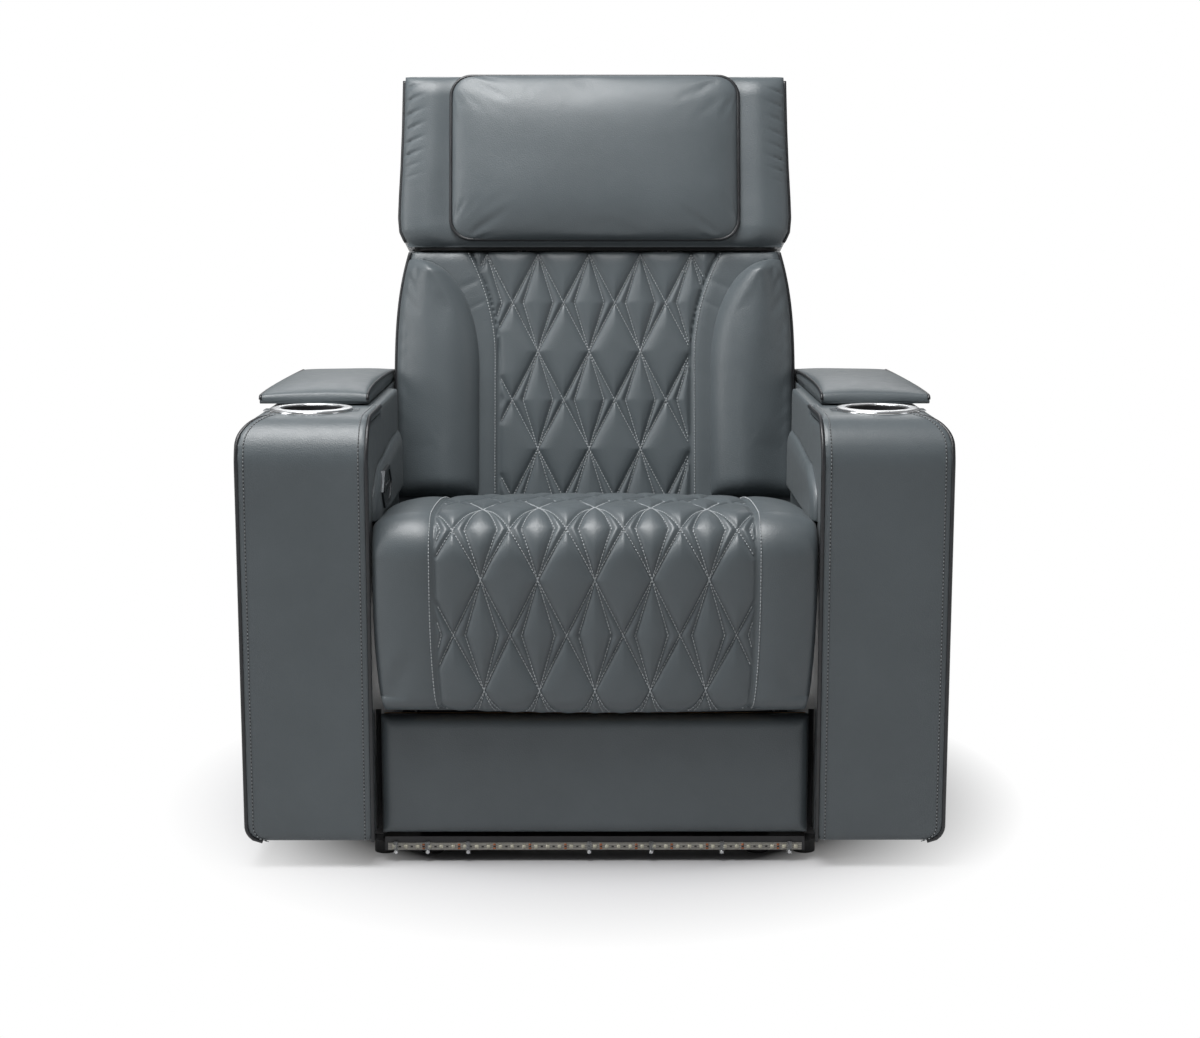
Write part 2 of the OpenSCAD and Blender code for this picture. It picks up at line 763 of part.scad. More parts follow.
// Outline of the control panel, a long hexagon in depth and height
module panel_outline(inset) {
  l = panel_len / 2 - inset;
  h = panel_h / 2 - inset;
  translate([dy(arm_front_d + panel_back), panel_z])
    polygon([[-l, 0], [panel_tip - l, h], [l - panel_tip, h],
      [l, 0], [l - panel_tip, -h], [panel_tip - l, -h]]);
}

module control_bezel() {
  color("#a9acb0") on_left() difference() {
    along_x(panel_face_x, arm_in) panel_outline(0);
    along_x(panel_face_x - over, panel_floor_x) panel_outline(panel_rim);
    for (k = [0 : button_count - 1])
      bar_x(panel_face_x - over, panel_floor_x + button_len + button_gap,
        button_place(k), panel_z, button_r + button_gap);
  }
}
function button_place(k) = arm_front_d + panel_back + (k - (button_count - 1) / 2) * button_step;

module button(k) {
  color("#d8d9db") on_left()
    bar_x(panel_floor_x - button_proud, panel_floor_x + button_len - button_travel,
      button_place(k), panel_z, button_r);
}

hinge_r = 5;
hinge_pin_r = 2.5;
hinge_gap_d = 6;
hinge_d = lid_front_d + lid_len + hinge_gap_d;
lid_gap = 2;
hinge_z = arm_top_z + hinge_r + lid_gap;
leaf_t = 2;
leaf_len = 30;
knuckle_w = 24;
knuckle_gap = 0.4;
lid_in = arm_in + lid_inset;
lid_out = arm_out - lid_outset;
lid_low_z = arm_top_z + lid_gap;
hinge_mid_x = (lid_in + shell_top_x) / 2;

// Leaf on the deck with two knuckles and the pin that the lid turns on
module lid_hinge() {
  color("#8f9296") {
    difference() {
      union() {
        for (s = [-1, 1]) translate([s * (knuckle_w + knuckle_gap), 0, 0]) {
          bar_x(hinge_mid_x - knuckle_w / 2, hinge_mid_x + knuckle_w / 2, hinge_d, hinge_z, hinge_r);
          block([hinge_mid_x - knuckle_w / 2, hinge_d, arm_top_z],
            [hinge_mid_x + knuckle_w / 2, hinge_d + hinge_r, hinge_z]);
        }
        block([hinge_mid_x - knuckle_w * 1.5 - knuckle_gap, hinge_d, arm_top_z],
          [hinge_mid_x + knuckle_w * 1.5 + knuckle_gap, hinge_d + leaf_len, arm_top_z + leaf_t]);
      }
      bar_x(hinge_mid_x - knuckle_w / 2 - knuckle_gap, hinge_mid_x + knuckle_w / 2 + knuckle_gap,
        hinge_d, hinge_z, hinge_r + knuckle_gap);
    }
    bar_x(hinge_mid_x - knuckle_w, hinge_mid_x + knuckle_w, hinge_d, hinge_z, hinge_pin_r);
  }
}

// Moulded tray under the lid's padding, with the hinge's middle knuckle
module lid_tray() {
  color("#222326") difference() {
    union() {
      block([lid_in + lid_edge, lid_front_d + lid_edge, lid_low_z],
        [lid_out - lid_edge, lid_front_d + lid_len - lid_edge, lid_low_z + lid_tray_h]);
      block([hinge_mid_x - knuckle_w / 2, lid_front_d + lid_len - 2 * lid_edge, hinge_z - leaf_t],
        [hinge_mid_x + knuckle_w / 2, hinge_d, hinge_z + hinge_r]);
      bar_x(hinge_mid_x - knuckle_w / 2, hinge_mid_x + knuckle_w / 2, hinge_d, hinge_z, hinge_r);
    }
    bar_x(lid_in, lid_out, hinge_d, hinge_z, hinge_pin_r + run_gap);
  }
}
lid_edge = 2;
lid_rows = 9;
lid_cols = 7;
lid_side_share = 0.35;
lid_fall_share = 0.6;
lid_round_shares = [0.3, 0.2];

// Padded top of the lid, crowned and rounded at its edges
module lid_pad() {
  function place(r, c, z) = [lid_in + (lid_out - lid_in) * c / (lid_cols - 1),
    dy(lid_front_d + lid_len * (1 - r / (lid_rows - 1))), z];
  function crown(r, c) = lid_low_z + lid_tray_h + rest_gap
    + lid_pad_h * (1 - lid_fall_share * pow(1 - r / (lid_rows - 1), 2))
    * (lid_side_share + (1 - lid_side_share)
      * roll(min(c, lid_cols - 1 - c) / (lid_cols - 1), lid_round_shares[0])
      * roll(min(r, lid_rows - 1 - r) / (lid_rows - 1), lid_round_shares[1]));
  color("#5b6670") padded(
    [for (r = [0 : lid_rows - 1]) [for (c = [0 : lid_cols - 1]) place(r, c, crown(r, c))]],
    [for (e = rim(lid_rows, lid_cols)) place(e[0], e[1], lid_low_z + lid_tray_h + rest_gap)]);
}

diamond_w = 76.6;
diamond_h = 152;
seat_nose_r = 66;
seat_toe_r = 25;
seat_fall = 50;
seat_crown = 5;
seat_side_drop = 24;
seat_row = diamond_h / 4;
seat_col = diamond_w / 4;
seat_first_node = 50;
seat_toe_len = seat_toe_r * PI / 2;
seat_nose_len = seat_nose_r * PI / 2;
seat_lip_len = seat_top_z - seat_nose_r - lip_foot_z - seat_toe_r;
seat_len = seat_toe_len + seat_lip_len + seat_nose_len + seat_d - seat_nose_r;
lip_corner_share = 0.95;
seat_pinch_share = 0.985;
seat_side_shares = [0.12, 0.45, 0.78, 1];
seat_roll_share = 0.98;

// Height of the sewn quilting over its valleys, from 0 to 1: diamonds between two sets of slanted seams
function quilt(x, s) = sqrt(abs(sin(180 * (x / diamond_w + s / diamond_h)))
  * abs(sin(180 * (x / diamond_w - s / diamond_h))));

// Place and outward direction, in depth and height, at distance s along the cushion's middle
// line: up round the toe and the lip, over the nose and back along the top
function seat_line(s) =
  s < seat_toe_len ? let (a = 270 - s / seat_toe_r * 180 / PI)
    [seat_toe_r + seat_toe_r * cos(a), lip_foot_z + seat_toe_r + seat_toe_r * sin(a), cos(a), sin(a)]
  : s < seat_toe_len + seat_lip_len ? [0, lip_foot_z + seat_toe_r + s - seat_toe_len, -1, 0]
  : s < seat_toe_len + seat_lip_len + seat_nose_len
    ? let (a = 180 - (s - seat_toe_len - seat_lip_len) / seat_nose_r * 180 / PI)
      [seat_nose_r + seat_nose_r * cos(a), seat_top_z - seat_nose_r + seat_nose_r * sin(a), cos(a), sin(a)]
  : let (d = seat_nose_r + s - seat_toe_len - seat_lip_len - seat_nose_len)
    [d, seat_top_z - seat_fall * pow((d - seat_nose_r) / (seat_d - seat_nose_r), 2), 0, 1];

seat_rows = concat([0],
  [for (s = [seat_first_node - seat_row : seat_row : seat_len - seat_row / 4]) s], [seat_len]);
seat_bend = 6;
quilt_cols = floor((quilt_half_w - over) / seat_col);
seat_side_w = seat_half_w - quilt_half_w;
seat_cols = concat(
  [for (k = [len(seat_side_shares) - 1 : -1 : 0]) -quilt_half_w - seat_side_w * seat_side_shares[k]],
  [-quilt_half_w], [for (k = [-quilt_cols : quilt_cols]) k * seat_col], [quilt_half_w],
  [for (q = seat_side_shares) quilt_half_w + seat_side_w * q]
);

// How far the face lies below the middle line: the crown, the rolled sides and the sewn valleys
function seat_sink(x, s) =
  let (q = max(0, (abs(x) - quilt_half_w) / seat_side_w), ends = min(1, s / seat_toe_len))
  abs(x) < quilt_half_w
    ? seat_crown * pow(x / quilt_half_w, 2) + quilt_valley * (1 - quilt(x, s - seat_first_node)) * ends
    : seat_crown + (q == 0 ? quilt_valley : 0)
      + seat_side_drop * (1 - sqrt(1 - pow(q * seat_roll_share, 2))) * ends;

// The cushion draws in toward the lip's lower corners
function seat_draw(s) = 1 - (1 - lip_corner_share) * pow(max(0, 1 - s / (seat_toe_len + seat_lip_len)), 3);

function seat_face(x, s) = let (p = seat_line(s), sink = seat_sink(x, s))
  [x * seat_draw(s), dy(p[0] - p[2] * sink), p[1] - p[3] * sink];

function seat_rest(x, s) = let (bend = seat_rows[seat_bend], lip = seat_under_z - lip_foot_z)
  s <= bend ? [x * seat_draw(s) * seat_pinch_share, dy(lip_t), lip_foot_z + lip * s / bend]
  : [x * seat_pinch_share, dy(lip_t + (seat_d - lip_t) * (s - bend) / (seat_len - bend)), seat_under_z];

// Seat cushion: the quilted top rolls over the front into a deep lip
module seat_cushion() {
  rows = len(seat_rows);
  cols = len(seat_cols);
  edge = rim(rows, cols);
  color("#66727d") padded(
    [for (s = seat_rows) [for (x = seat_cols) seat_face(-x, s)]],
    [for (e = edge) seat_rest(-seat_cols[e[1]], seat_rows[e[0]])],
    (len(seat_side_shares) + 1 + quilt_cols) % 2);
}

goose_x = back_plate_in;
goose_t = 6;
goose_end_angle = -80;
goose_mid_angle = -45;
goose_foot_low_z = 110;
goose_foot_high_z = 200;
leg_front_d = 38;
leg_back_d = leg_front_d + leg_t;
leg_board_t = 14;
leg_board_in = 2;
crank_t = 8;
crank_w = 22;
crank_pin_r = 5;
rod_r = 9;
rod_eye_t = 2 * rod_r;
crank_x = leg_motor_x + rod_r + motor_gap;

// Torque tube under the seat's front, with the crank that the motor pulls
module leg_tube() {
  color("#4a4c50") {
    difference() {
      bar_x(-goose_x, goose_x, leg_hinge_d, leg_hinge_z, leg_tube_r);
      bar_x(-goose_x - over, goose_x + over, leg_hinge_d, leg_hinge_z, leg_tube_r - cross_wall);
    }
    difference() {
      along_x(crank_x, crank_x + crank_t) union() {
        translate([dy(leg_hinge_d), leg_hinge_z]) circle(leg_tube_r + bush_wall);
        translate([dy(leg_hinge_d), leg_hinge_z - crank_w / 2]) square([crank_r, crank_w]);
        translate([dy(leg_hinge_d + crank_r), leg_hinge_z]) circle(crank_w / 2);
      }
      bar_x(crank_x - over, crank_x + crank_t + over, leg_hinge_d, leg_hinge_z, leg_tube_r);
      bar_x(crank_x - over, crank_x + crank_t + over, leg_hinge_d + crank_r, leg_hinge_z, crank_pin_r);
    }
  }
}

// Two gooseneck arms: each runs back from the hinge, round under the lip and on to the board
module leg_goosenecks() {
  color("#4a4c50") both_sides() along_x(goose_x, goose_x + goose_t) {
    translate([dy(leg_hinge_d), leg_hinge_z]) circle(boss_r);
    translate([dy(leg_hinge_d), leg_hinge_z - gooseneck_w / 2]) square([gooseneck_r, gooseneck_w]);
    intersection() {
      translate([dy(leg_hinge_d), leg_hinge_z]) difference() {
        circle(gooseneck_r + gooseneck_w / 2, $fn = 96);
        circle(gooseneck_r - gooseneck_w / 2, $fn = 96);
      }
      polygon([leg_turn(0, 0), leg_turn(2 * gooseneck_r, 0), leg_turn(2 * gooseneck_r, goose_mid_angle),
        leg_turn(2 * gooseneck_r, goose_end_angle)]);
    }
    translate([dy(leg_back_d), goose_foot_low_z])
      square([gooseneck_w / 2, goose_foot_high_z - goose_foot_low_z]);
  }
}

module leg_board() {
  color("#b98f5e") block([-leg_half_w + leg_board_in, leg_back_d - leg_board_t, leg_foot_z + leg_board_in],
    [leg_half_w - leg_board_in, leg_back_d, leg_top_z - leg_board_in]);
}

leg_rows = 6;
leg_cols = 13;
leg_edge_share = 0.5;
leg_round_shares = [0.1, 0.2];

// Plain padded face of the footrest
module leg_pad() {
  rows = leg_rows;
  cols = leg_cols;
  function face_d(r, c) = leg_front_d + (leg_t - leg_board_t) * leg_edge_share
    * (1 - roll(min(c, cols - 1 - c) / (cols - 1), leg_round_shares[0])
      * roll(min(r, rows - 1 - r) / (rows - 1), leg_round_shares[1]));
  function place(r, c, d) = [-leg_half_w + 2 * leg_half_w * c / (cols - 1), dy(d),
    leg_top_z - (leg_top_z - leg_foot_z) * r / (rows - 1)];
  color("#535e68") padded(
    [for (r = [0 : rows - 1]) [for (c = [0 : cols - 1]) place(r, c, face_d(r, c))]],
    [for (e = rim(rows, cols)) place(e[0], e[1], leg_back_d - leg_board_t - rest_gap)]);
}

leg_eye_d = leg_hinge_d + crank_r;
leg_motor_angle = atan2(leg_hinge_z - leg_motor_z, leg_eye_d - leg_motor_d);
leg_motor_reach = norm([leg_hinge_z - leg_motor_z, leg_eye_d - leg_motor_d]);
back_motor_angle = atan2(lug_z - back_motor_z, lug_d - back_motor_d);
back_motor_reach = norm([lug_z - back_motor_z, lug_d - back_motor_d]);
motor_r = 19;
motor_tube_r = 17;
motor_tail_r = motor_lug_r - motor_gap;
motor_case_share = 0.68;
motor_box_len = 60;
motor_box_h = 52;
motor_can_r = 15;
motor_can_len = 95;
rod_start_share = 0.44;
rod_eye_r = 10;
back_stroke = 84;

// Linear motor along +X of its own frame: tail eye, gear case, motor can and guide tube
module motor_body(reach, bore_from) {
  difference() {
    union() {
      rotate([90, 0, 0]) cylinder(h = motor_tail_t, r = motor_tail_r, center = true);
      translate([0, -motor_tail_t / 2, -motor_tail_r])
        cube([motor_box_len / 2, motor_tail_t, 2 * motor_tail_r]);
      translate([motor_box_len / 3, -motor_r, -motor_box_h + motor_r])
        cube([motor_box_len, 2 * motor_r, motor_box_h]);
      translate([motor_box_len / 3, 0, 0]) rotate([0, 90, 0])
        cylinder(h = reach * motor_case_share - motor_box_len / 3, r = motor_tube_r);
      translate([motor_box_len, 0, -motor_box_h + motor_r + motor_can_r]) rotate([0, 90, 0])
        cylinder(h = motor_can_len, r = motor_can_r);
    }
    rotate([90, 0, 0]) cylinder(h = motor_tail_t + 2 * over, r = motor_pin_r + run_gap, center = true);
    translate([bore_from, 0, 0]) rotate([0, 90, 0])
      cylinder(h = reach, r = rod_r + run_gap);
  }
}

// The rod that slides in the guide tube, with its eye
module motor_rod(reach) {
  translate([reach * rod_start_share, 0, 0]) rotate([0, 90, 0])
    cylinder(h = reach * (1 - rod_start_share) - rod_eye_r / 2, r = rod_r);
  difference() {
    rotate([90, 0, 0]) translate([reach, 0, 0]) cylinder(h = rod_eye_t, r = rod_eye_r, center = true);
    rotate([90, 0, 0]) translate([reach, 0, 0])
      cylinder(h = rod_eye_t + 2 * over, r = motor_pin_r, center = true);
  }
}

// Puts a motor's frame at its tail pin, turned to its angle
module at_motor(x, d, z, angle) {
  translate([x, dy(d), z]) rotate([angle, 0, 0]) rotate([0, 0, 90]) children();
}

module leg_motor() {
  color("#303236") at_motor(leg_motor_x, leg_motor_d, leg_motor_z, leg_motor_angle)
    mirror([0, 0, 1]) motor_body(leg_motor_reach, leg_motor_reach * rod_start_share - rod_r);
}

module leg_rod() {
  color("#b9bcc0") at_motor(leg_motor_x, leg_motor_d, leg_motor_z, leg_motor_angle)
    motor_rod(leg_motor_reach);
}

module back_motor() {
  color("#303236") at_motor(back_motor_x, back_motor_d, back_motor_z, back_motor_angle)
    motor_body(back_motor_reach, back_motor_reach * rod_start_share - back_stroke - rod_r / 2);
}

module back_rod() {
  color("#b9bcc0") at_motor(back_motor_x, back_motor_d, back_motor_z, back_motor_angle)
    motor_rod(back_motor_reach);
}

back_hinge_t = (back_hinge_d - back_d) * cos(lean) - (back_hinge_z - back_z) * sin(lean);
back_hinge_v = (back_hinge_d - back_d) * sin(lean) + (back_hinge_z - back_z) * cos(lean);
lug_t = (lug_d - back_d) * cos(lean) - (lug_z - back_z) * sin(lean);
lug_v = (lug_d - back_d) * sin(lean) + (lug_z - back_z) * cos(lean);
web_t = 2;
frame_t = back_pad_t + rest_gap + web_t;
cover_front_t = 8;
shoulder_v = 146;
frame_low_v = -60;
frame_top_v = 350;
frame_mid_v = 150;
back_board_in = back_plate_in + back_plate_t;

// Half width of the back at a height along it: straight beside the arms, drawn in to the waist
function back_w(v) = back_half_w
  - (back_half_w - waist_half_w) * pow(max(0, (v - shoulder_v) / (back_top_v - shoulder_v)), 3);

back_outline_steps = 6;
back_outline_v = concat([back_foot_v], [for (k = [0 : back_outline_steps])
  shoulder_v + (back_top_v - shoulder_v) * k / back_outline_steps]);

module back_outline(inset) {
  n = len(back_outline_v);
  polygon(concat(
    [for (v = back_outline_v) [back_w(v) - inset, v]],
    [for (k = [n - 1 : -1 : 0]) [inset - back_w(back_outline_v[k]), back_outline_v[k]]]));
}

// Plywood frame of the back: two side boards and three cross boards
module back_frame() {
  color("#b98f5e") in_back() {
    both_sides() brick([back_board_in, frame_t, frame_low_v],
      [back_board_in + board_t, back_t - panel_t, frame_top_v]);
    brick([-back_plate_in, frame_t, frame_low_v], [back_plate_in, back_t - panel_t, frame_low_v + board_t]);
    for (v = [frame_mid_v, frame_top_v - board_t])
      brick([-back_board_in, frame_t, v], [back_board_in, back_t - panel_t, v + board_t]);
  }
}

web_w = 50;
web_first_v = -50;
web_step = 78;
web_count = 5;

// Elastic straps across the frame, behind the padding
module back_webbing() {
  color("#8a8478") in_back() for (k = [0 : web_count - 1])
    brick([-back_board_in - board_t, back_pad_t + rest_gap, web_first_v + k * web_step],
      [back_board_in + board_t, frame_t, web_first_v + k * web_step + web_w]);
}

bracket_top_v = 60;
bracket_rear_t = 130;
lug_plate_t = 8;
lug_plate_w = 40;

// Steel plates that carry the back on its hinge, and the lug that its motor pushes
module back_brackets() {
  color("#3a3c3f") in_back() {
    both_sides() slab_x(back_plate_in, back_board_in) difference() {
      union() {
        translate([back_hinge_t, back_hinge_v]) circle(boss_r);
        polygon([[back_hinge_t, back_hinge_v + boss_r], [frame_t, back_hinge_v + boss_r],
          [frame_t, bracket_top_v], [bracket_rear_t, bracket_top_v],
          [bracket_rear_t, frame_low_v], [back_hinge_t, back_hinge_v - boss_r]]);
      }
      translate([back_hinge_t, back_hinge_v]) circle(back_pin_r + run_gap);
    }
    slab_x(back_motor_x + rod_r + motor_gap, back_motor_x + rod_r + motor_gap + lug_plate_t) difference() {
      union() {
        translate([lug_t, lug_v]) circle(lug_plate_w / 3);
        polygon([[lug_t - lug_plate_w / 3, lug_v], [lug_t - lug_plate_w / 2, frame_low_v],
          [lug_t + lug_plate_w / 2, frame_low_v], [lug_t + lug_plate_w / 3, lug_v]]);
      }
      translate([lug_t, lug_v]) circle(motor_pin_r);
    }
  }
}

border_narrow = 152;
border_flare = 42;
border_narrow_v = 194;
border_top_v = 360;
band_w = 29;
back_row = 39;
back_diamond_w = 81.5;
back_col = back_diamond_w / 4;
back_first_node_v = 361;
back_border_shares = [0.34, 0.67, 1];

// Half width of the quilted field on the back, which flares toward its top
function border_w(v) = border_narrow
  + border_flare * pow(max(0, (v - border_narrow_v) / (border_top_v - border_narrow_v)), 2);

function back_quilt(x, v) = let (across = x / back_diamond_w, up = (v - back_first_node_v) / (4 * back_row))
  sqrt(abs(sin(180 * (across + up))) * abs(sin(180 * (across - up))));

back_cols_n = floor((border_narrow - over) / back_col);
back_rows_n = floor((back_top_v - back_foot_v) / back_row);
back_rows = concat([back_top_v],
  [for (k = [0 : back_rows_n]) let (v = back_first_node_v - k * back_row) if (v > back_foot_v + over) v],
  [back_foot_v]);
back_edge_r = 9;
back_end_share = 0.5;

// Columns of the back's padding at one height: quilted field, border, band, and out to the edge
function back_cols(v) =
  let (b = border_w(v), w = back_w(v) - panel_t - rest_gap, e = back_cols_n * back_col,
    border = [for (q = back_border_shares) e + (b - e) * q],
    right = concat(border, [b + band_w / 2, b + band_w, w - back_edge_r, w]))
  concat([for (k = [len(right) - 1 : -1 : 0]) -right[k]],
    [for (k = [-back_cols_n : back_cols_n]) k * back_col], right);

function back_sink(x, v) = let (b = border_w(v), w = back_w(v) - panel_t - rest_gap, ax = abs(x),
    ends = roll(min(v - back_foot_v, back_top_v - v) / back_row, back_end_share))
  cover_front_t + rest_gap
    - (ax < b - over ? cover_front_t * back_quilt(x, v) * ends
      : ax < b + over ? 0
      : ax < b + band_w - over ? cover_front_t * ends
      : ax > w - over ? -back_edge_r : 0);

// Padding of the back with its quilted middle field and the plain band beside it
module back_cushion() {
  cols = len(back_cols(0));
  rows = len(back_rows);
  color("#66727d") in_back() padded(
    [for (v = back_rows) [for (x = back_cols(v)) [x, back_sink(x, v), v]]],
    [for (e = rim(rows, cols)) [back_cols(back_rows[e[0]])[e[1]], back_pad_t, back_rows[e[0]]]],
    (len(back_border_shares) + back_cols_n) % 2);
}

bolster_foot_v = -28;
bolster_top_v = 353;
bolster_bend_v = 164;
bolster_in = 182;
bolster_power = 2.4;
bolster_edge = 4;
bolster_crown_power = 0.8;
bolster_start_share = 0.008;
bolster_round_shares = [0.8, 0.12];
bolster_rows = 11;
bolster_cols = 9;

// Inner edge of a side bolster: straight, then curving out to the back's edge at the top
function bolster_inner(v) =
  let (q = max(0, (v - bolster_bend_v) / (bolster_top_v - bolster_bend_v)), w = back_w(v) - bolster_edge)
  w - (w - bolster_in) * pow(1 - pow(q, bolster_power), 1 / bolster_power);

// Raised pads at both sides of the back
module back_bolsters() {
  rows = bolster_rows;
  cols = bolster_cols;
  function row_v(r) = bolster_top_v - (bolster_top_v - bolster_foot_v)
    * (bolster_start_share + (1 - bolster_start_share) * (1 - cos(90 * r / (rows - 1))));
  function place(r, c, t) = let (v = row_v(r), a = bolster_inner(v), b = back_w(v) - bolster_edge)
    [a + (b - a) * c / (cols - 1), t, v];
  function height(r, c) = soft_edge_t + (bolster_h - soft_edge_t)
    * pow(sin(90 * (1 - cos(180 * c / (cols - 1)))), bolster_crown_power)
    * roll(r / (rows - 1), bolster_round_shares[0])
    * roll((rows - 1 - r) / (rows - 1), bolster_round_shares[1]);
  color("#5b6670") in_back() both_sides() padded(
    [for (r = [0 : rows - 1])
      [for (c = [0 : cols - 1]) place(r, c, cover_front_t - rest_gap - height(r, c))]],
    [for (e = rim(rows, cols)) place(e[0], e[1], cover_front_t - rest_gap)]);
}

// Outer cover: the sides and the rear of the back, with rounded rear corners
module back_cover() {
  color("#434c55") in_back() difference() {
    intersection() {
      slab_t(cover_front_t, back_t) back_outline(0);
      translate([0, 0, back_foot_v]) linear_extrude(back_top_v - back_foot_v)
        round_rect([-back_half_w, 0], [back_half_w, back_t], [0, 0, back_corner_r, back_corner_r]);
    }
    slab_t(-over, back_t - panel_t) translate([0, -over]) difference() {
      back_outline(panel_t);
      translate([-back_half_w, back_top_v]) square([2 * back_half_w, panel_t]);
    }
    slab_t(-over, back_t - panel_t) translate([0, over]) back_outline(panel_t);
  }
}

pivot_t = 12;
pivot_v = (back_top_v + head_foot_v) / 2;
pivot_r = 3.5;
pivot_eye_r = 5.7;
pivot_x = 110;
pivot_bar_w = 6;
pivot_bar_gap = 1;
pivot_half_len = 125;
pivot_arm_h = 10;
pivot_foot_t = 100;

// Brackets on the back's top board, and the rod that the head section tilts on
module head_pivot() {
  color("#8f9296") in_back() {
    slab_x(-pivot_half_len, pivot_half_len) translate([pivot_t, pivot_v]) circle(pivot_r);
    both_sides() slab_x(pivot_x + pivot_bar_w + pivot_bar_gap, pivot_x + 2 * pivot_bar_w + pivot_bar_gap) {
      translate([pivot_t, pivot_v]) circle(pivot_eye_r);
      translate([pivot_t, pivot_v - pivot_arm_h / 2]) square([pivot_foot_t - pivot_t, pivot_arm_h]);
      translate([frame_t, frame_top_v]) square([pivot_foot_t - frame_t, pivot_v - frame_top_v]);
    }
  }
}

head_plate_low_v = head_foot_v + panel_t;
head_front_plate_t = 4;
head_window = 24;

// Steel frame of the head section: two plates that turn on the rod, and a front sheet between them
module head_frame() {
  color("#3a3c3f") in_back() {
    both_sides() slab_x(pivot_x, pivot_x + pivot_bar_w) difference() {
      union() {
        translate([pivot_t, pivot_v]) circle(pivot_eye_r);
        translate([pivot_t, pivot_v - pivot_arm_h / 2])
          square([frame_t + head_window - pivot_t, pivot_arm_h]);
        translate([frame_t, pivot_v - pivot_arm_h / 2]) square([head_window, head_plate_low_v - pivot_v]);
        translate([frame_t, head_plate_low_v - pivot_arm_h])
          square([back_t - panel_t - frame_t, head_top_v - panel_t - head_plate_low_v + pivot_arm_h]);
      }
      translate([pivot_t, pivot_v]) circle(pivot_r + run_gap);
      translate([frame_t + head_window, head_plate_low_v + head_window])
        square([back_t - panel_t - frame_t - 2 * head_window,
          head_top_v - panel_t - head_plate_low_v - 2 * head_window]);
    }
    brick([-pivot_x, frame_t, head_plate_low_v],
      [pivot_x, frame_t + head_front_plate_t, head_top_v - panel_t]);
  }
}

// Rear, sides and top of the head section
module head_shell() {
  color("#434c55") in_back() difference() {
    intersection() {
      slab_x(-head_half_w, head_half_w)
        round_rect([cover_front_t, head_foot_v], [back_t, head_top_v], [0, 0, back_corner_r, panel_t]);
      translate([0, 0, head_foot_v]) linear_extrude(head_top_v - head_foot_v)
        round_rect([-head_half_w, 0], [head_half_w, back_t], [0, 0, back_corner_r, back_corner_r]);
    }
    brick([panel_t - head_half_w, -over, head_foot_v - over],
      [head_half_w - panel_t, back_t - panel_t, head_top_v - panel_t]);
  }
}

wing_h = 12;
wing_rows = 8;
wing_in = pillow_half_w + 2;
wing_out = head_half_w - panel_t - rest_gap;
wing_shares = [0.2, 0.45, 0.7, 0.9, 1];
wing_edge_share = 0.15;
wing_round_share = 0.3;
wing_x = concat(
  [for (k = [len(wing_shares) - 1 : -1 : 0]) -wing_in - (wing_out - wing_in) * wing_shares[k]],
  [-wing_in, -wing_in / 2, 0, wing_in / 2, wing_in],
  [for (q = wing_shares) wing_in + (wing_out - wing_in) * q]);

// Padding of the head section, with a raised wing at each side of the pillow
module head_cushion() {
  rows = wing_rows;
  cols = len(wing_x);
  top_v = head_top_v - panel_t - rest_gap;
  function place(r, c, t) = [wing_x[c], t, top_v - (top_v - head_foot_v) * r / (rows - 1)];
  function face_t(r, c) = let (q = max(0, (abs(wing_x[c]) - wing_in) / (wing_out - wing_in)),
      ends = min(r, rows - 1 - r) / (rows - 1))
    cover_front_t * (q == 1 ? 1 : 1 - roll(ends, wing_edge_share))
      - (wing_h + cover_front_t) * sin(180 * q) * roll(ends, wing_round_share);
  color("#5b6670") in_back() padded(
    [for (r = [0 : rows - 1]) [for (c = [0 : cols - 1]) place(r, c, face_t(r, c))]],
    [for (e = rim(rows, cols)) place(e[0], e[1], back_pad_t)]);
}

pillow_foot_v = 380;
pillow_top_v = 640;
pillow_corner_r = 34;
pillow_edge_t = 12;
pillow_rows = 13;
pillow_cols = 15;

// Pillow on the head section: crowned, with round corners
module head_pillow() {
  rows = pillow_rows;
  cols = pillow_cols;
  h = pillow_top_v - pillow_foot_v;
  function share(k, n) = 0.5 - 0.5 * cos(180 * k / (n - 1));
  function row_v(r) = pillow_top_v - h * share(r, rows);
  function half_w(r) = let (q = min(share(r, rows), 1 - share(r, rows)) * h)
    pillow_half_w - (q >= pillow_corner_r ? 0
      : pillow_corner_r - sqrt(pow(pillow_corner_r, 2) - pow(pillow_corner_r - q, 2)));
  function place(r, c, t) = [half_w(r) * (2 * share(c, cols) - 1), t, row_v(r)];
  function face_t(r, c) = let (u = 2 * share(c, cols) - 1, q = 2 * share(r, rows) - 1)
    -rest_gap - pillow_edge_t
      - (pillow_t - pillow_edge_t) * sqrt((1 - pow(abs(u), 4)) * (1 - pow(abs(q), 3)));
  color("#5b6670") in_back() padded(
    [for (r = [0 : rows - 1]) [for (c = [0 : cols - 1]) place(r, c, face_t(r, c))]],
    [for (e = rim(rows, cols)) place(e[0], e[1], -rest_gap)]);
}

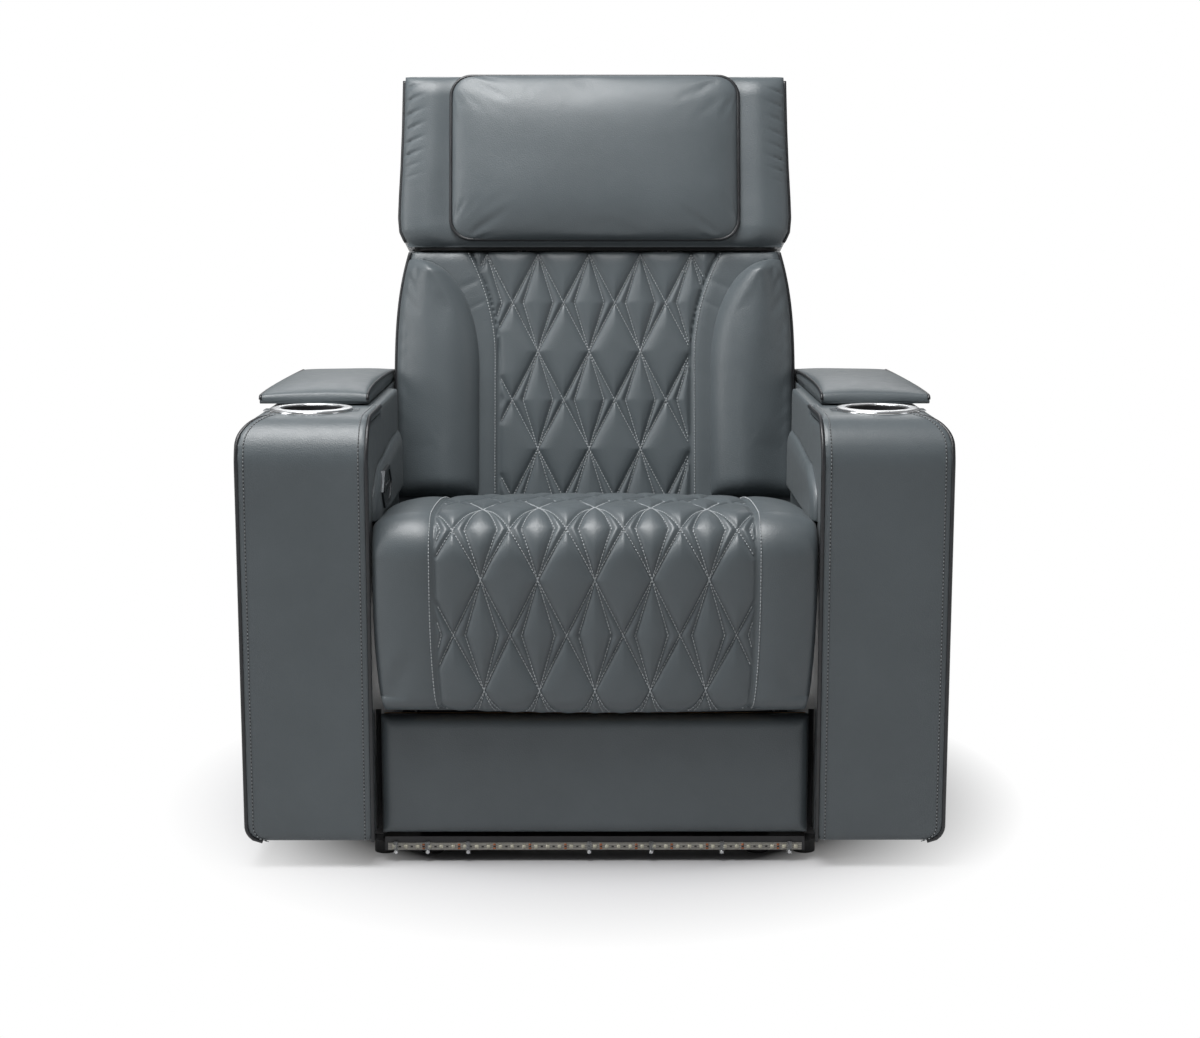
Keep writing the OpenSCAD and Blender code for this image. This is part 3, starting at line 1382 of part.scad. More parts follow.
module arm_frame_left() { on_left() arm_frame(); }
module arm_frame_right() { arm_frame(); }
module arm_front_left() { on_left() arm_front(); }
module arm_front_right() { arm_front(); }
module arm_outer_left() { on_left() arm_outer(); }
module arm_outer_right() { arm_outer(); }
module arm_inner_left() { on_left() arm_inner(); }
module arm_inner_right() { arm_inner(); }
module arm_bolster_left() {
  color("#4c5660") on_left() difference() {
    arm_bolster();
    along_x(panel_face_x - over, arm_in + over) panel_outline(-rest_gap);
  }
}
module arm_bolster_right() { arm_bolster(); }
module cup_left() { on_left() cup(); }
module cup_right() { cup(); }
module bin_left() { on_left() bin(); }
module bin_right() { bin(); }
module lid_hinge_left() { on_left() lid_hinge(); }
module lid_hinge_right() { lid_hinge(); }
module lid_tray_left() { on_left() lid_tray(); }
module lid_tray_right() { lid_tray(); }
module lid_pad_left() { on_left() lid_pad(); }
module lid_pad_right() { lid_pad(); }
module button_1() { button(0); }
module button_2() { button(1); }
module button_3() { button(2); }
module button_4() { button(3); }

base_frame();
floor_glides();
light_carrier();
light_strip();
light_clips();
power_supply();
side_plates();
cross_tubes();
hinge_bushes();
back_hinge_pins();
actuator_brackets();
seat_front_board();
seat_springs();
seat_cushion();
arm_frame_left();
arm_frame_right();
arm_front_left();
arm_front_right();
arm_outer_left();
arm_outer_right();
arm_inner_left();
arm_inner_right();
arm_bolster_left();
arm_bolster_right();
cup_left();
cup_right();
bin_left();
bin_right();
lid_hinge_left();
lid_hinge_right();
lid_tray_left();
lid_pad_left();
lid_tray_right();
lid_pad_right();
control_bezel();
button_1();
button_2();
button_3();
button_4();
leg_tube();
leg_goosenecks();
leg_board();
leg_pad();
leg_motor();
leg_rod();
back_motor();
back_rod();
back_frame();
back_webbing();
back_brackets();
back_cushion();
back_bolsters();
back_cover();
head_pivot();
head_frame();
head_shell();
head_cushion();
head_pillow();
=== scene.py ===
import json
import math
from itertools import product

import bmesh
import bpy
import numpy as np
from bpy.props import FloatProperty, FloatVectorProperty, IntProperty, PointerProperty
from mathutils import Matrix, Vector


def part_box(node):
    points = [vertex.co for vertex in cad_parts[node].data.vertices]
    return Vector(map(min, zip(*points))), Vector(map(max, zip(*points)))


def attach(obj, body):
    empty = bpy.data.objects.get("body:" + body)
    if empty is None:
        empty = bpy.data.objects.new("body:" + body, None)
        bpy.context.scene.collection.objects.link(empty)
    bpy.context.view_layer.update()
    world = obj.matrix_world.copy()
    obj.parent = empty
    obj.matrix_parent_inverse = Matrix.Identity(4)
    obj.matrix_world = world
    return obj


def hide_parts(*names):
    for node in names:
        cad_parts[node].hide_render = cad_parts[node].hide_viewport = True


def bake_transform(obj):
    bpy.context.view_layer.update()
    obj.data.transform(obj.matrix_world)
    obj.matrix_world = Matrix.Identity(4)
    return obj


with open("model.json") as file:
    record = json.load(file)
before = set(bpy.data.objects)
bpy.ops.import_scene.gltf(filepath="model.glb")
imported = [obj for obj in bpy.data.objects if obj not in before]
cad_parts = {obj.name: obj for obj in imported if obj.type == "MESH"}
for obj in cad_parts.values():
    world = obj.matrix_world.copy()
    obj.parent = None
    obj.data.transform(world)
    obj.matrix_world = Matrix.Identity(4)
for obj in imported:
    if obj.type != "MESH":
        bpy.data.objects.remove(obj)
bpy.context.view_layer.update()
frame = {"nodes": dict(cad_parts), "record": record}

bl_info = {
    "name": "Cinema recliner seat",
    "version": (1, 0, 0),
    "blender": (4, 5, 0),
    "location": "View3D > Sidebar > Recliner",
    "description": "Dresses the recliner's frame with quilted leather, piping, stitching and fittings",
    "category": "Object",
}

MM = 0.001
FRONT_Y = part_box("seat_cushion")[0][1]
SLOT_OF = {part["node"]: part["material_slot"] for part in frame["record"]["subparts"]}

# Places on the object in millimetres: x to the right, depth back from the lip's face, height
ARM_LOW, ARM_HIGH = [np.array(c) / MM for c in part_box("arm_front_right")]
ARM_IN, ARM_OUT = ARM_LOW[0], ARM_HIGH[0]
ARM_FRONT_D = (ARM_LOW[1] * MM - FRONT_Y) / MM
ARM_FOOT_Z, ARM_TOP_Z = ARM_LOW[2], ARM_HIGH[2]
NOSE_R, SHOULDER_R, HEEL_R, SEAM_IN = 65.0, 35.0, 22.0, 11.5
SEAM_BESIDE = 6.5
LID_D, LID_LEN, LID_FOOT_Z = 208.0, 432.0, 622.4
LID_IN, LID_OUT, LID_BEND_D, LID_TRAY_Z = 322.0, 475.0, 340.0, 632.3
CUP_X, CUP_D, FLANGE_Z, FLANGE_R = 392.0, 138.0, 619.7, 42.4
LEAN = math.radians(12.0)
ACROSS, UPWARD = np.array([1.0, 0, 0]), np.array([0, 0, 1.0])
BACK_D, BACK_Z = 518.0, 470.0
BACK_FOOT_V, BACK_TOP_V = -112.0, 365.0
HEAD_FOOT_V, HEAD_TOP_V, HEAD_HINGE_T = 377.0, 643.0, 14.0
SKIN = 12.0

# In metres: step of the stitches on the arms, a short way for directions, height of quilting stitches
EDGE_STEP, NEAR, STITCH_LIFT = 0.0052, 0.0005, 0.0008

# Steps of the cloth simulation, and sides of a piping's section
CLOTH_STEPS, TUBE_SIDES = 20, 10


# ---- settings

def colour_setting(name, text, default):
    """A colour that the panel offers."""
    return FloatVectorProperty(name=name, description=text, subtype="COLOR", size=3, min=0, max=1, default=default)


def length_setting(name, text, low, high, default):
    """A length that the panel offers."""
    return FloatProperty(name=name, description=text, unit="LENGTH", min=low, max=high, default=default)


class LeatherSettings(bpy.types.PropertyGroup):
    """Colours and finish of the covers"""
    leather: colour_setting("Leather", "Colour of the covers", (0.074, 0.088, 0.096))
    piping: colour_setting("Piping", "Colour of the piping", (0.010, 0.011, 0.013))
    thread: colour_setting("Thread", "Colour of the seams' thread", (0.36, 0.385, 0.40))
    grain: length_setting("Grain", "Depth of the leather's grain", 0, 0.002, 0.00035)
    piping_r: length_setting("Piping radius", "Radius of the piping", 0.001, 0.006, 0.0029)
    stitch_step: length_setting("Stitch step", "Distance from one stitch to the next", 0.003, 0.01, 0.0048)


class QuiltSettings(bpy.types.PropertyGroup):
    """Sizes of the quilting on seat and back"""
    seat_diamond_w: length_setting("Seat diamond width", "Width of a diamond on the seat", 0.05, 0.12, 0.0766)
    seat_diamond_h: length_setting("Seat diamond height", "Height of a diamond on the seat", 0.08, 0.24, 0.152)
    back_diamond_w: length_setting("Back diamond width", "Width of a diamond on the back", 0.05, 0.12, 0.0815)
    back_diamond_h: length_setting("Back diamond height", "Height of a diamond on the back", 0.08, 0.24, 0.156)
    inner_share: FloatProperty(name="Inner share", description="Width of the inner diamond, as a share of the outer",
                               subtype="FACTOR", min=0.3, max=0.9, default=0.58)
    puff: length_setting("Puff", "Height of the padding over its seams", 0.001, 0.012, 0.0068)


class StageSettings(bpy.types.PropertyGroup):
    """Camera and light"""
    camera_y: FloatProperty(name="Camera distance", description="The camera's place in front of the middle",
                            unit="LENGTH", default=-3.043)
    camera_z: FloatProperty(name="Camera height", description="The camera's height above the floor",
                            unit="LENGTH", default=0.913)
    pitch: FloatProperty(name="Pitch", description="How far the camera looks down", subtype="ANGLE",
                         default=math.radians(9.17))
    yaw: FloatProperty(name="Yaw", description="How far the camera looks to the right", subtype="ANGLE",
                       default=math.radians(0.15))
    lens: FloatProperty(name="Lens", description="Focal length in millimetres", min=20, max=120, default=60)
    lights: IntProperty(name="Lights", description="Number of small lights on the strip", min=3, max=60, default=35)


# ---- places

def in_row(x, d, z):
    """Points in metres from x, depth and height in millimetres: y is the lip's face plus the depth."""
    x, d, z = np.broadcast_arrays(np.asarray(x, float), np.asarray(d, float), np.asarray(z, float))
    return np.stack([x * MM, FRONT_Y + d * MM, z * MM], axis=-1)


def in_back(x, t, v):
    """Points in metres from the back's own frame: t runs back from its front face, v up along it, and
    both are turned by the lean about the point where the front face has its stated depth."""
    t, v = np.asarray(t, float), np.asarray(v, float)
    return in_row(x, BACK_D + t * math.cos(LEAN) + v * math.sin(LEAN),
                  BACK_Z + v * math.cos(LEAN) - t * math.sin(LEAN))


def roll(q):
    """Quarter round: 0 at q = 0, and 1 from q = 1 on."""
    return np.sqrt(1 - (1 - np.clip(q, 0, 1)) ** 2)


def ease(q):
    """Smooth step from 0 to 1."""
    q = np.clip(q, 0, 1)
    return q * q * (3 - 2 * q)


def spread(low, high, step):
    """Evenly spaced values from low to high, about a step apart."""
    return np.linspace(low, high, max(2, int(round(abs(high - low) / step)) + 1))


def unit(v):
    """Vectors brought to length one."""
    return v / np.maximum(np.linalg.norm(v, axis=-1, keepdims=True), 1e-12)


def ripple(a, b, seed, size):
    """Unevenness from -1 to 1: three products of slow sines over two directions, with fixed phases."""
    rng = np.random.default_rng(seed)
    total = 0
    for k in range(3):
        p, q, r = rng.uniform(0, 2 * math.pi, 3)
        w = 2 * math.pi / (size * (1 + 0.45 * k))
        along, across = a * math.cos(r) + b * math.sin(r), b * math.cos(r) - a * math.sin(r)
        total = total + np.sin(w * along + p) * np.sin(w * across + q)
    return total / 3


# ---- meshes

def mesh_of(name, points, quads, rings=()):
    """A mesh from points, an array of quads and lists of many-sided faces."""
    sizes = np.concatenate([np.full(len(quads), 4)] + [[len(r)] for r in rings])
    loops = np.concatenate([np.asarray(quads, int).ravel()] + [np.asarray(r, int) for r in rings])
    mesh = bpy.data.meshes.new(name)
    mesh.vertices.add(len(points))
    mesh.vertices.foreach_set("co", np.ascontiguousarray(points, np.float32).ravel())
    mesh.loops.add(len(loops))
    mesh.loops.foreach_set("vertex_index", loops.astype(np.int32))
    mesh.polygons.add(len(sizes))
    mesh.polygons.foreach_set("loop_start", np.concatenate([[0], np.cumsum(sizes)[:-1]]).astype(np.int32))
    mesh.update(calc_edges=True)
    mesh.validate()
    return mesh


def volume(points, quads, rings=()):
    """Signed volume: the sum over fans of triangles of the corner product, over six."""
    p = points
    a, b, c, d = (p[quads[:, k]] for k in range(4))
    total = np.einsum("ij,ij->", a, np.cross(b, c)) + np.einsum("ij,ij->", a, np.cross(c, d))
    for r in rings:
        q = p[np.asarray(r)]
        total += np.einsum("ij,ij->", np.broadcast_to(q[0], q[1:-1].shape), np.cross(q[1:-1], q[2:]))
    return total / 6


def between(rows, n):
    """Quads from each row of n points, which goes round, to the next one, and from the last row to the first."""
    r, k = np.arange(rows)[:, None], np.arange(n)[None, :]
    r2, k2 = (r + 1) % rows, (k + 1) % n
    return np.stack([r * n + k, r * n + k2, r2 * n + k2, r2 * n + k], axis=-1).reshape(-1, 4)


def lofted(loops):
    """A closed form through closed loops of points: quads join each loop to the next, and a many-sided
    face closes each end. Faces point outward: if the signed volume is negative, they are turned."""
    rows, n = loops.shape[:2]
    quads = between(rows, n)[:(rows - 1) * n]
    points = loops.reshape(-1, 3)
    rings = [np.arange(n)[::-1], (rows - 1) * n + np.arange(n)]
    if volume(points, quads, rings) < 0:
        quads = quads[:, ::-1]
        rings = [ring[::-1] for ring in rings]
    return points, quads, rings


def joined(parts):
    """Several (points, quads, rings) as one."""
    points, quads, rings, start = [], [], [], 0
    for p, q, g in parts:
        points.append(p)
        quads.append(q + start)
        rings += [np.asarray(r) + start for r in g]
        start += len(p)
    return np.concatenate(points), np.concatenate(quads), rings


def pad(face, left, right, wall=2, bulge=0.0):
    """Closed padded form: each row of the face is closed by two walls to the points left and right that
    it rests on. A wall bulges outward by half a sine of its height."""
    share = np.linspace(0, 1, wall + 1)[1:, None]

    def side(start, end, beside):
        step, out = (end - start)[:, None], unit(start - beside)[:, None]
        return start[:, None] + step * share + out * np.sin(np.pi * share) * bulge

    walls_r = side(face[:, -1], right, face[:, -2])
    walls_l = side(face[:, 0], left, face[:, 1])[:, ::-1]
    return lofted(np.concatenate([face, walls_r, walls_l], axis=1))


def shut(face, right, left):
    """Closed form whose rows run over the face, down the right-hand points and back up the left-hand ones."""
    return lofted(np.concatenate([face, np.stack(right, 1), np.stack(left[::-1], 1)], axis=1))


def hoop(rings):
    """A closed form through rings of points that themselves go round and meet again."""
    quads = between(*rings.shape[:2])
    points = rings.reshape(-1, 3)
    if volume(points, quads) < 0:
        quads = quads[:, ::-1]
    return points, quads, []


def tube(path, r, up, closed=False):
    """A round bar along a path: rings stand across the path's direction, turned by a fixed upward
    reference, and both ends are closed."""
    along = np.roll(path, -1, 0) - np.roll(path, 1, 0) if closed else np.gradient(path, axis=0)
    along = unit(along)
    side = unit(np.cross(along, np.broadcast_to(up, along.shape)))
    top = np.cross(side, along)
    a = (np.arange(TUBE_SIDES) / TUBE_SIDES * 2 * np.pi)[None, :, None]
    rings = path[:, None] + r * (np.cos(a) * side[:, None] + np.sin(a) * top[:, None])
    return hoop(rings) if closed else lofted(rings)


def blocks(corners, faces):
    """Many closed blocks of eight corners as one form. Their faces are turned if the first block's volume is
    negative."""
    points, faces = corners.reshape(-1, 3), np.array(faces)
    quads = (faces[None] + 8 * np.arange(len(corners))[:, None, None]).reshape(-1, 4)
    if len(corners) and volume(points[:8], faces) < 0:
        quads = quads[:, ::-1]
    return points, quads, []


def along_path(path, step):
    """Points a step apart along a path, with the path's direction there and each point's share of its length."""
    run = np.concatenate([[0], np.cumsum(np.linalg.norm(np.diff(path, axis=0), axis=1))])
    places = np.arange(step / 2, run[-1], step)
    point, ahead, behind = (np.stack([np.interp(places + more, run, path[:, k]) for k in range(3)], -1)
                            for more in (0, NEAR, -NEAR))
    return point, unit(ahead - behind), places / run[-1]


def stitches(path, normal, step, long=0.0036, wide=0.0013, high=0.0007):
    """A row of stitches: each is a small loaf of eight corners with the given length, width and height, laid
    along the path and standing on the surface along its normal."""
    point, ahead, share = along_path(path, step)
    if normal.ndim == 2:
        k = np.linspace(0, 1, len(normal))
        n = np.stack([np.interp(share, k, normal[:, c]) for c in range(3)], -1)
    else:
        n = np.broadcast_to(normal, point.shape)
    side = unit(np.cross(ahead, n))
    n = np.cross(side, ahead)
    end = np.array([[1, -1, -1], [1, 1, -1], [0.7, 0.6, 1], [0.7, -0.6, 1]])
    l, w, h = (np.concatenate([end * (-1, 1, 1), end]) * (long / 2, wide / 2, high)).T[:, None, :, None]
    corners = point[:, None] + l * ahead[:, None] + w * side[:, None] + h * n[:, None]
    return blocks(corners, [[0, 1, 2, 3], [4, 7, 6, 5], [0, 4, 5, 1], [3, 2, 6, 7], [1, 5, 6, 2], [0, 3, 7, 4]])


def add_piece(name, parts, body, look="leather", smooth=True, node=None, angle=None):
    """Puts a mesh into the scene as a piece that rides on a body, or on none. look is
    its finish, node the CAD node that it stands for, and angle the angle in degrees from which an edge is sharp."""
    mesh = mesh_of(name, *parts)
    mesh.materials.append(finish(look))
    piece = bpy.data.objects.new(name, mesh)
    bpy.context.scene.collection.objects.link(piece)
    if smooth:
        mesh.shade_smooth()
        if angle:
            mesh.set_sharp_from_angle(angle=math.radians(angle))
    if body:
        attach(piece, body)
    if node:
        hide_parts(node)
    return piece


def mirrored(parts):
    """The same piece on the other side: x changes sign, and the faces are turned back outward."""
    points, quads, rings = parts
    return points * np.array([-1, 1, 1]), quads[:, ::-1], [np.asarray(r)[::-1] for r in rings]


def on_side(parts, side):
    """The same parts for side 1, mirrored for side -1."""
    return parts if side > 0 else mirrored(parts)


def side_name(side):
    return "right" if side > 0 else "left"


def points_of(mesh):
    """The places of a mesh's vertices as an array."""
    points = np.empty(len(mesh.vertices) * 3, np.float32)
    mesh.vertices.foreach_get("co", points)
    return points.reshape(-1, 3)


def place_points(mesh, points):
    """Puts the vertices of a mesh at the given places."""
    mesh.vertices.foreach_set("co", points.astype(np.float32).ravel())
    mesh.update()


def settle(piece):
    """Puts the result of a piece's modifiers into its mesh."""
    graph = bpy.context.evaluated_depsgraph_get()
    mesh = bpy.data.meshes.new_from_object(piece.evaluated_get(graph))
    piece.modifiers.clear()
    piece.data = mesh


def held(parts, rows, cols, first, last):
    """Which points of a padded form stay put: its walls, the face's two outer columns on each side, and its
    first and last rows."""
    hold = np.zeros((rows, len(parts[0]) // rows), bool)
    hold[:, :2] = hold[:, cols - 2:] = hold[:first] = hold[-last:] = True
    return hold.ravel()


def swell(piece, hold, cap, pressure):
    """Fills a pad: its cover is simulated as cloth under pressure for a fixed number of steps, held where the
    array hold is true, and no point moves further than the cap."""
    start = points_of(piece.data)
    group = piece.vertex_groups.new(name="held")
    group.add([int(k) for k in np.flatnonzero(hold)], 1.0, "REPLACE")
    cloth = piece.modifiers.new("swell", "CLOTH")
    cloth.settings.use_pressure = True
    cloth.settings.uniform_pressure_force = pressure
    cloth.settings.effector_weights.gravity = 0
    cloth.settings.vertex_group_mass = "held"
    cloth.settings.quality = 4
    cloth.collision_settings.use_collision = False
    scene = bpy.context.scene
    for step in range(1, CLOTH_STEPS + 1):
        scene.frame_set(step)
    graph = bpy.context.evaluated_depsgraph_get()
    end = points_of(piece.evaluated_get(graph).to_mesh())
    piece.modifiers.clear()
    piece.vertex_groups.clear()
    scene.frame_set(1)
    move = end - start
    move *= np.minimum(1, cap / np.maximum(np.linalg.norm(move, axis=1, keepdims=True), 1e-9))
    place_points(piece.data, start + move)


def soft_copy(node, name, change=None):
    """A padded copy of a panel's solid: doubles merged, remeshed evenly and smoothed, so its edges go round."""
    mesh = frame["nodes"][node].data.copy()
    work = bmesh.new()
    work.from_mesh(mesh)
    bmesh.ops.remove_doubles(work, verts=work.verts, dist=1e-5)
    work.to_mesh(mesh)
    work.free()
    mesh.materials.clear()
    piece = bpy.data.objects.new(name, mesh)
    bpy.context.scene.collection.objects.link(piece)
    remesh = piece.modifiers.new("even", "REMESH")
    remesh.mode = "VOXEL"
    remesh.voxel_size = 0.005
    soften = piece.modifiers.new("soften", "SMOOTH")
    soften.factor = 0.5
    soften.iterations = 5
    settle(piece)
    piece.data.name = name
    if change:
        place_points(piece.data, change(points_of(piece.data).astype(float)))
    piece.data.materials.clear()
    piece.data.materials.append(finish("leather"))
    piece.data.shade_smooth()
    body = [b for b, nodes in frame["record"]["behaviour"]["bodies"].items() if node in nodes][0]
    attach(piece, body)
    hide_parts(node)


# ---- materials

def maths(tree, kind, operation, *terms):
    """The output that counts of a maths node whose inputs are sockets or constants."""
    node = tree.nodes.new(kind)
    node.operation = operation
    for place, term in zip(node.inputs, terms):
        if isinstance(term, bpy.types.NodeSocket):
            tree.links.new(term, place)
        else:
            place.default_value = term
    return next(socket for socket in node.outputs if socket.enabled)


def seen(tree, kind):
    """1 for rays from the camera and for those of the given kind, else 0."""
    rays = tree.nodes.new("ShaderNodeLightPath")
    return maths(tree, "ShaderNodeMath", "MAXIMUM", rays.outputs["Is Camera Ray"], rays.outputs[kind])


def mixed(tree, share, near, far, output):
    """Feeds an output node from two shaders: near where the share is 0, far where it is 1."""
    mix = tree.nodes.new("ShaderNodeMixShader")
    for socket, source in zip(mix.inputs, (share, near.outputs[0], far.outputs[0])):
        tree.links.new(source, socket)
    tree.links.new(mix.outputs["Shader"], output.inputs["Surface"])


class Finish:
    """A material with its node tree at hand."""

    def __init__(self, name):
        self.material = bpy.data.materials.new(name)
        self.material.use_nodes = True
        self.nodes = self.material.node_tree.nodes
        self.links = self.material.node_tree.links
        self.shader = self.nodes["Principled BSDF"]
        self.place = self.nodes.new("ShaderNodeTexCoord").outputs["Object"]

    def set(self, **sockets):
        """Fixed values of the shader's inputs, an underscore standing for a space in their names."""
        for name, value in sockets.items():
            self.shader.inputs[name.replace("_", " ")].default_value = value

    def add(self, kind, where=None, **values):
        """A node that is fed with places, and with numbers by the names of its inputs."""
        node = self.nodes.new(kind)
        for name, value in values.items():
            node.inputs[name].default_value = value
        self.links.new(where or self.place, node.inputs["Vector"])
        return node

    def noise(self, scale, detail=2.0, rough=0.5, where=None):
        return self.add("ShaderNodeTexNoise", where, Scale=scale, Detail=detail, Roughness=rough).outputs["Fac"]

    def cells(self, scale):
        return self.add("ShaderNodeTexVoronoi", Scale=scale).outputs["Distance"]

    def stretched(self, x, y, z):
        return self.add("ShaderNodeMapping", Scale=(x, y, z)).outputs["Vector"]

    def waves(self, scale, distortion, direction):
        node = self.add("ShaderNodeTexWave", Scale=scale, Distortion=distortion)
        node.bands_direction = direction
        return node.outputs["Fac"]

    def ramp(self, value, stops):
        node = self.nodes.new("ShaderNodeValToRGB")
        ramp = node.color_ramp
        while len(ramp.elements) < len(stops):
            ramp.elements.new(0.5)
        for element, (place, colour) in zip(ramp.elements, stops):
            element.position = place
            element.color = (*colour, 1)
        self.links.new(value, node.inputs["Fac"])
        return node.outputs["Color"]

    def tone(self, colour, dark, light, *noise):
        """A colour that wanders between a darker and a lighter share of it."""
        return self.ramp(self.noise(*noise), [(0.3, shade(colour, dark)), (0.7, shade(colour, light))])

    def span(self, value, low, high, from_low=0.0, from_high=1.0):
        node = self.nodes.new("ShaderNodeMapRange")
        for name, number in (("From Min", from_low), ("From Max", from_high), ("To Min", low), ("To Max", high)):
            node.inputs[name].default_value = number
        self.links.new(value, node.inputs["Value"])
        return node.outputs["Result"]

    def bump(self, height, distance, strength=1.0, below=None):
        node = self.nodes.new("ShaderNodeBump")
        node.inputs["Strength"].default_value = strength
        node.inputs["Distance"].default_value = distance
        self.links.new(height, node.inputs["Height"])
        if below is not None:
            self.links.new(below, node.inputs["Normal"])
        return node.outputs["Normal"]

    def maths(self, operation, *terms):
        return maths(self.material.node_tree, "ShaderNodeMath", operation, *terms)

    def vector(self, operation, *terms):
        return maths(self.material.node_tree, "ShaderNodeVectorMath", operation, *terms)

    def feed(self, **sockets):
        """Links outputs to the shader's inputs in the same way, and gives the material."""
        for name, output in sockets.items():
            self.links.new(output, self.shader.inputs[name.replace("_", " ")])
        return self.material


def shade(colour, share):
    """A colour made darker or lighter by a share."""
    return tuple(min(1.0, c * share) for c in colour)


def leather_finish(name, colour, grain, rough=0.4):
    """Smooth leather: pebble grain from small cells, pores from noise, faint creases and uneven tone."""
    f = Finish(name)
    f.set(Specular_IOR_Level=0.45, Coat_Weight=0.08, Coat_Roughness=0.3, Sheen_Weight=0.04)
    tone = f.tone(colour, 0.93, 1.06, 9, 4, 0.6)
    creases = f.bump(f.noise(26, 3, 0.55), 0.004, 0.10)
    pebble = f.bump(f.cells(620), grain, 0.55, creases)
    pores = f.bump(f.noise(1500, 2), grain * 0.5, 0.3, pebble)
    return f.feed(Base_Color=tone, Roughness=f.span(f.noise(60, 4), rough - 0.06, rough + 0.09), Normal=pores)


def piping_finish(name, colour):
    """Black cord cover: fine grain, with a little shine on its top."""
    f = Finish(name)
    f.set(Specular_IOR_Level=0.5)
    tone = f.tone(colour, 0.7, 1.5, 60, 3)
    grain = f.bump(f.cells(900), 0.0003, 0.5)
    return f.feed(Base_Color=tone, Roughness=f.span(f.noise(180, 2), 0.32, 0.46), Normal=grain)


def thread_finish(name, colour):
    """Twisted thread: slanted bands on each stitch."""
    f = Finish(name)
    f.set(Specular_IOR_Level=0.35, Sheen_Weight=0.2)
    tone = f.tone(colour, 0.8, 1.15, 240, 2)
    twist = f.bump(f.waves(420, 1.0, "DIAGONAL"), 0.0002, 0.6)
    return f.feed(Base_Color=tone, Roughness=f.span(f.noise(300), 0.5, 0.7), Normal=twist)


def wood_finish(name):
    """Raw plywood: long grain lines and a few darker streaks."""
    f = Finish(name)
    f.set(Specular_IOR_Level=0.3)
    grain = f.noise(7, 6, 0.65, f.stretched(1, 1, 14))
    tone = f.ramp(grain, [(0.25, (0.42, 0.27, 0.14)), (0.5, (0.56, 0.39, 0.22)), (0.75, (0.66, 0.49, 0.30))])
    return f.feed(Base_Color=tone, Roughness=f.span(f.noise(40, 3), 0.55, 0.75),
                  Normal=f.bump(f.noise(90, 5, 0.7, f.stretched(1, 1, 9)), 0.0004, 0.5))


def painted_finish(name, colour):
    """Powder coat on steel: fine orange peel and slightly uneven shine."""
    f = Finish(name)
    f.set(Specular_IOR_Level=0.5)
    tone = f.tone(colour, 0.85, 1.2, 22, 4)
    return f.feed(Base_Color=tone, Roughness=f.span(f.noise(50, 3), 0.36, 0.52),
                  Normal=f.bump(f.noise(700, 2), 0.0003, 0.4))


def metal_finish(name, colour, rough, streak=(1, 1, 1), scale=300):
    """Bare or plated metal: fine uneven lines, closer together along the axis with the largest of the streak's
    three scales, and faint stains in the tone."""
    f = Finish(name)
    f.set(Metallic=1.0)
    tone = f.tone(colour, 0.92, 1.05, 18, 4)
    lines = f.noise(scale, 3, 0.6, f.stretched(*streak))
    return f.feed(Base_Color=tone, Roughness=f.span(lines, rough * 0.75, rough * 1.3),
                  Normal=f.bump(lines, 0.0001, 0.25))


def cup_finish(name):
    """Cup holder: bright steel on its flange, which is what lies above the rim's height and outside the rim's
    radius round the cup's middle on either side, and dark and dull elsewhere."""
    f = Finish(name)
    height = f.add("ShaderNodeSeparateXYZ").outputs["Z"]
    either_side = f.vector("ABSOLUTE", f.vector("MULTIPLY", f.place, (1, 1, 0)))
    radius = f.vector("DISTANCE", either_side, tuple(np.abs(in_row(CUP_X, CUP_D, 0.0))))
    upper = f.maths("MULTIPLY", f.span(height, 0, 1, FLANGE_Z * MM, (FLANGE_Z + 0.3) * MM),
                    f.span(radius, 0, 1, FLANGE_R * MM, (FLANGE_R + 0.2) * MM))
    tone = f.ramp(upper, [(0.0, (0.008, 0.008, 0.009)), (1.0, (0.80, 0.81, 0.82))])
    uneven = f.noise(60, 3)
    rough = f.maths("SUBTRACT", f.span(uneven, 0.48, 0.60), f.span(upper, 0, 0.38))
    return f.feed(Base_Color=tone, Metallic=upper, Roughness=rough, Normal=f.bump(uneven, 0.0001, 0.2))


def plastic_finish(name, colour, rough=0.5, texture=900):
    """Moulded plastic with a fine eroded texture."""
    f = Finish(name)
    f.set(Specular_IOR_Level=0.45)
    tone = f.tone(colour, 0.88, 1.12, 30, 3)
    return f.feed(Base_Color=tone, Roughness=f.span(f.noise(120, 3), rough - 0.06, rough + 0.08),
                  Normal=f.bump(f.noise(texture, 3), 0.0002, 0.5))


def clear_finish(name):
    """Clear moulded clip."""
    f = Finish(name)
    f.set(Transmission_Weight=0.85, IOR=1.49, Base_Color=(0.93, 0.95, 0.96, 1))
    return f.feed(Roughness=f.span(f.noise(90, 3), 0.05, 0.16), Normal=f.bump(f.noise(200, 2), 0.0002, 0.2))


def woven_finish(name, colour, count):
    """Woven cloth: two crossed sets of fine bands."""
    f = Finish(name)
    f.set(Specular_IOR_Level=0.2, Sheen_Weight=0.2)
    warp, weft = f.waves(count, 0.4, "X"), f.waves(count, 0.4, "Z")
    tone = f.tone(colour, 0.8, 1.15, 45, 3)
    return f.feed(Base_Color=tone, Roughness=f.span(f.noise(200, 2), 0.75, 0.92),
                  Normal=f.bump(weft, 0.0004, 0.6, f.bump(warp, 0.0004, 0.6)))


def strip_finish(name):
    """Flexible circuit strip: pale, with faint printed tracks along it."""
    f = Finish(name)
    f.set(Specular_IOR_Level=0.5)
    tracks = f.waves(110, 0.1, "Z")
    tone = f.ramp(tracks, [(0.35, (0.20, 0.19, 0.17)), (0.6, (0.30, 0.29, 0.26))])
    return f.feed(Base_Color=tone, Roughness=f.span(f.noise(160, 3), 0.25, 0.42),
                  Normal=f.bump(tracks, 0.0001, 0.4))


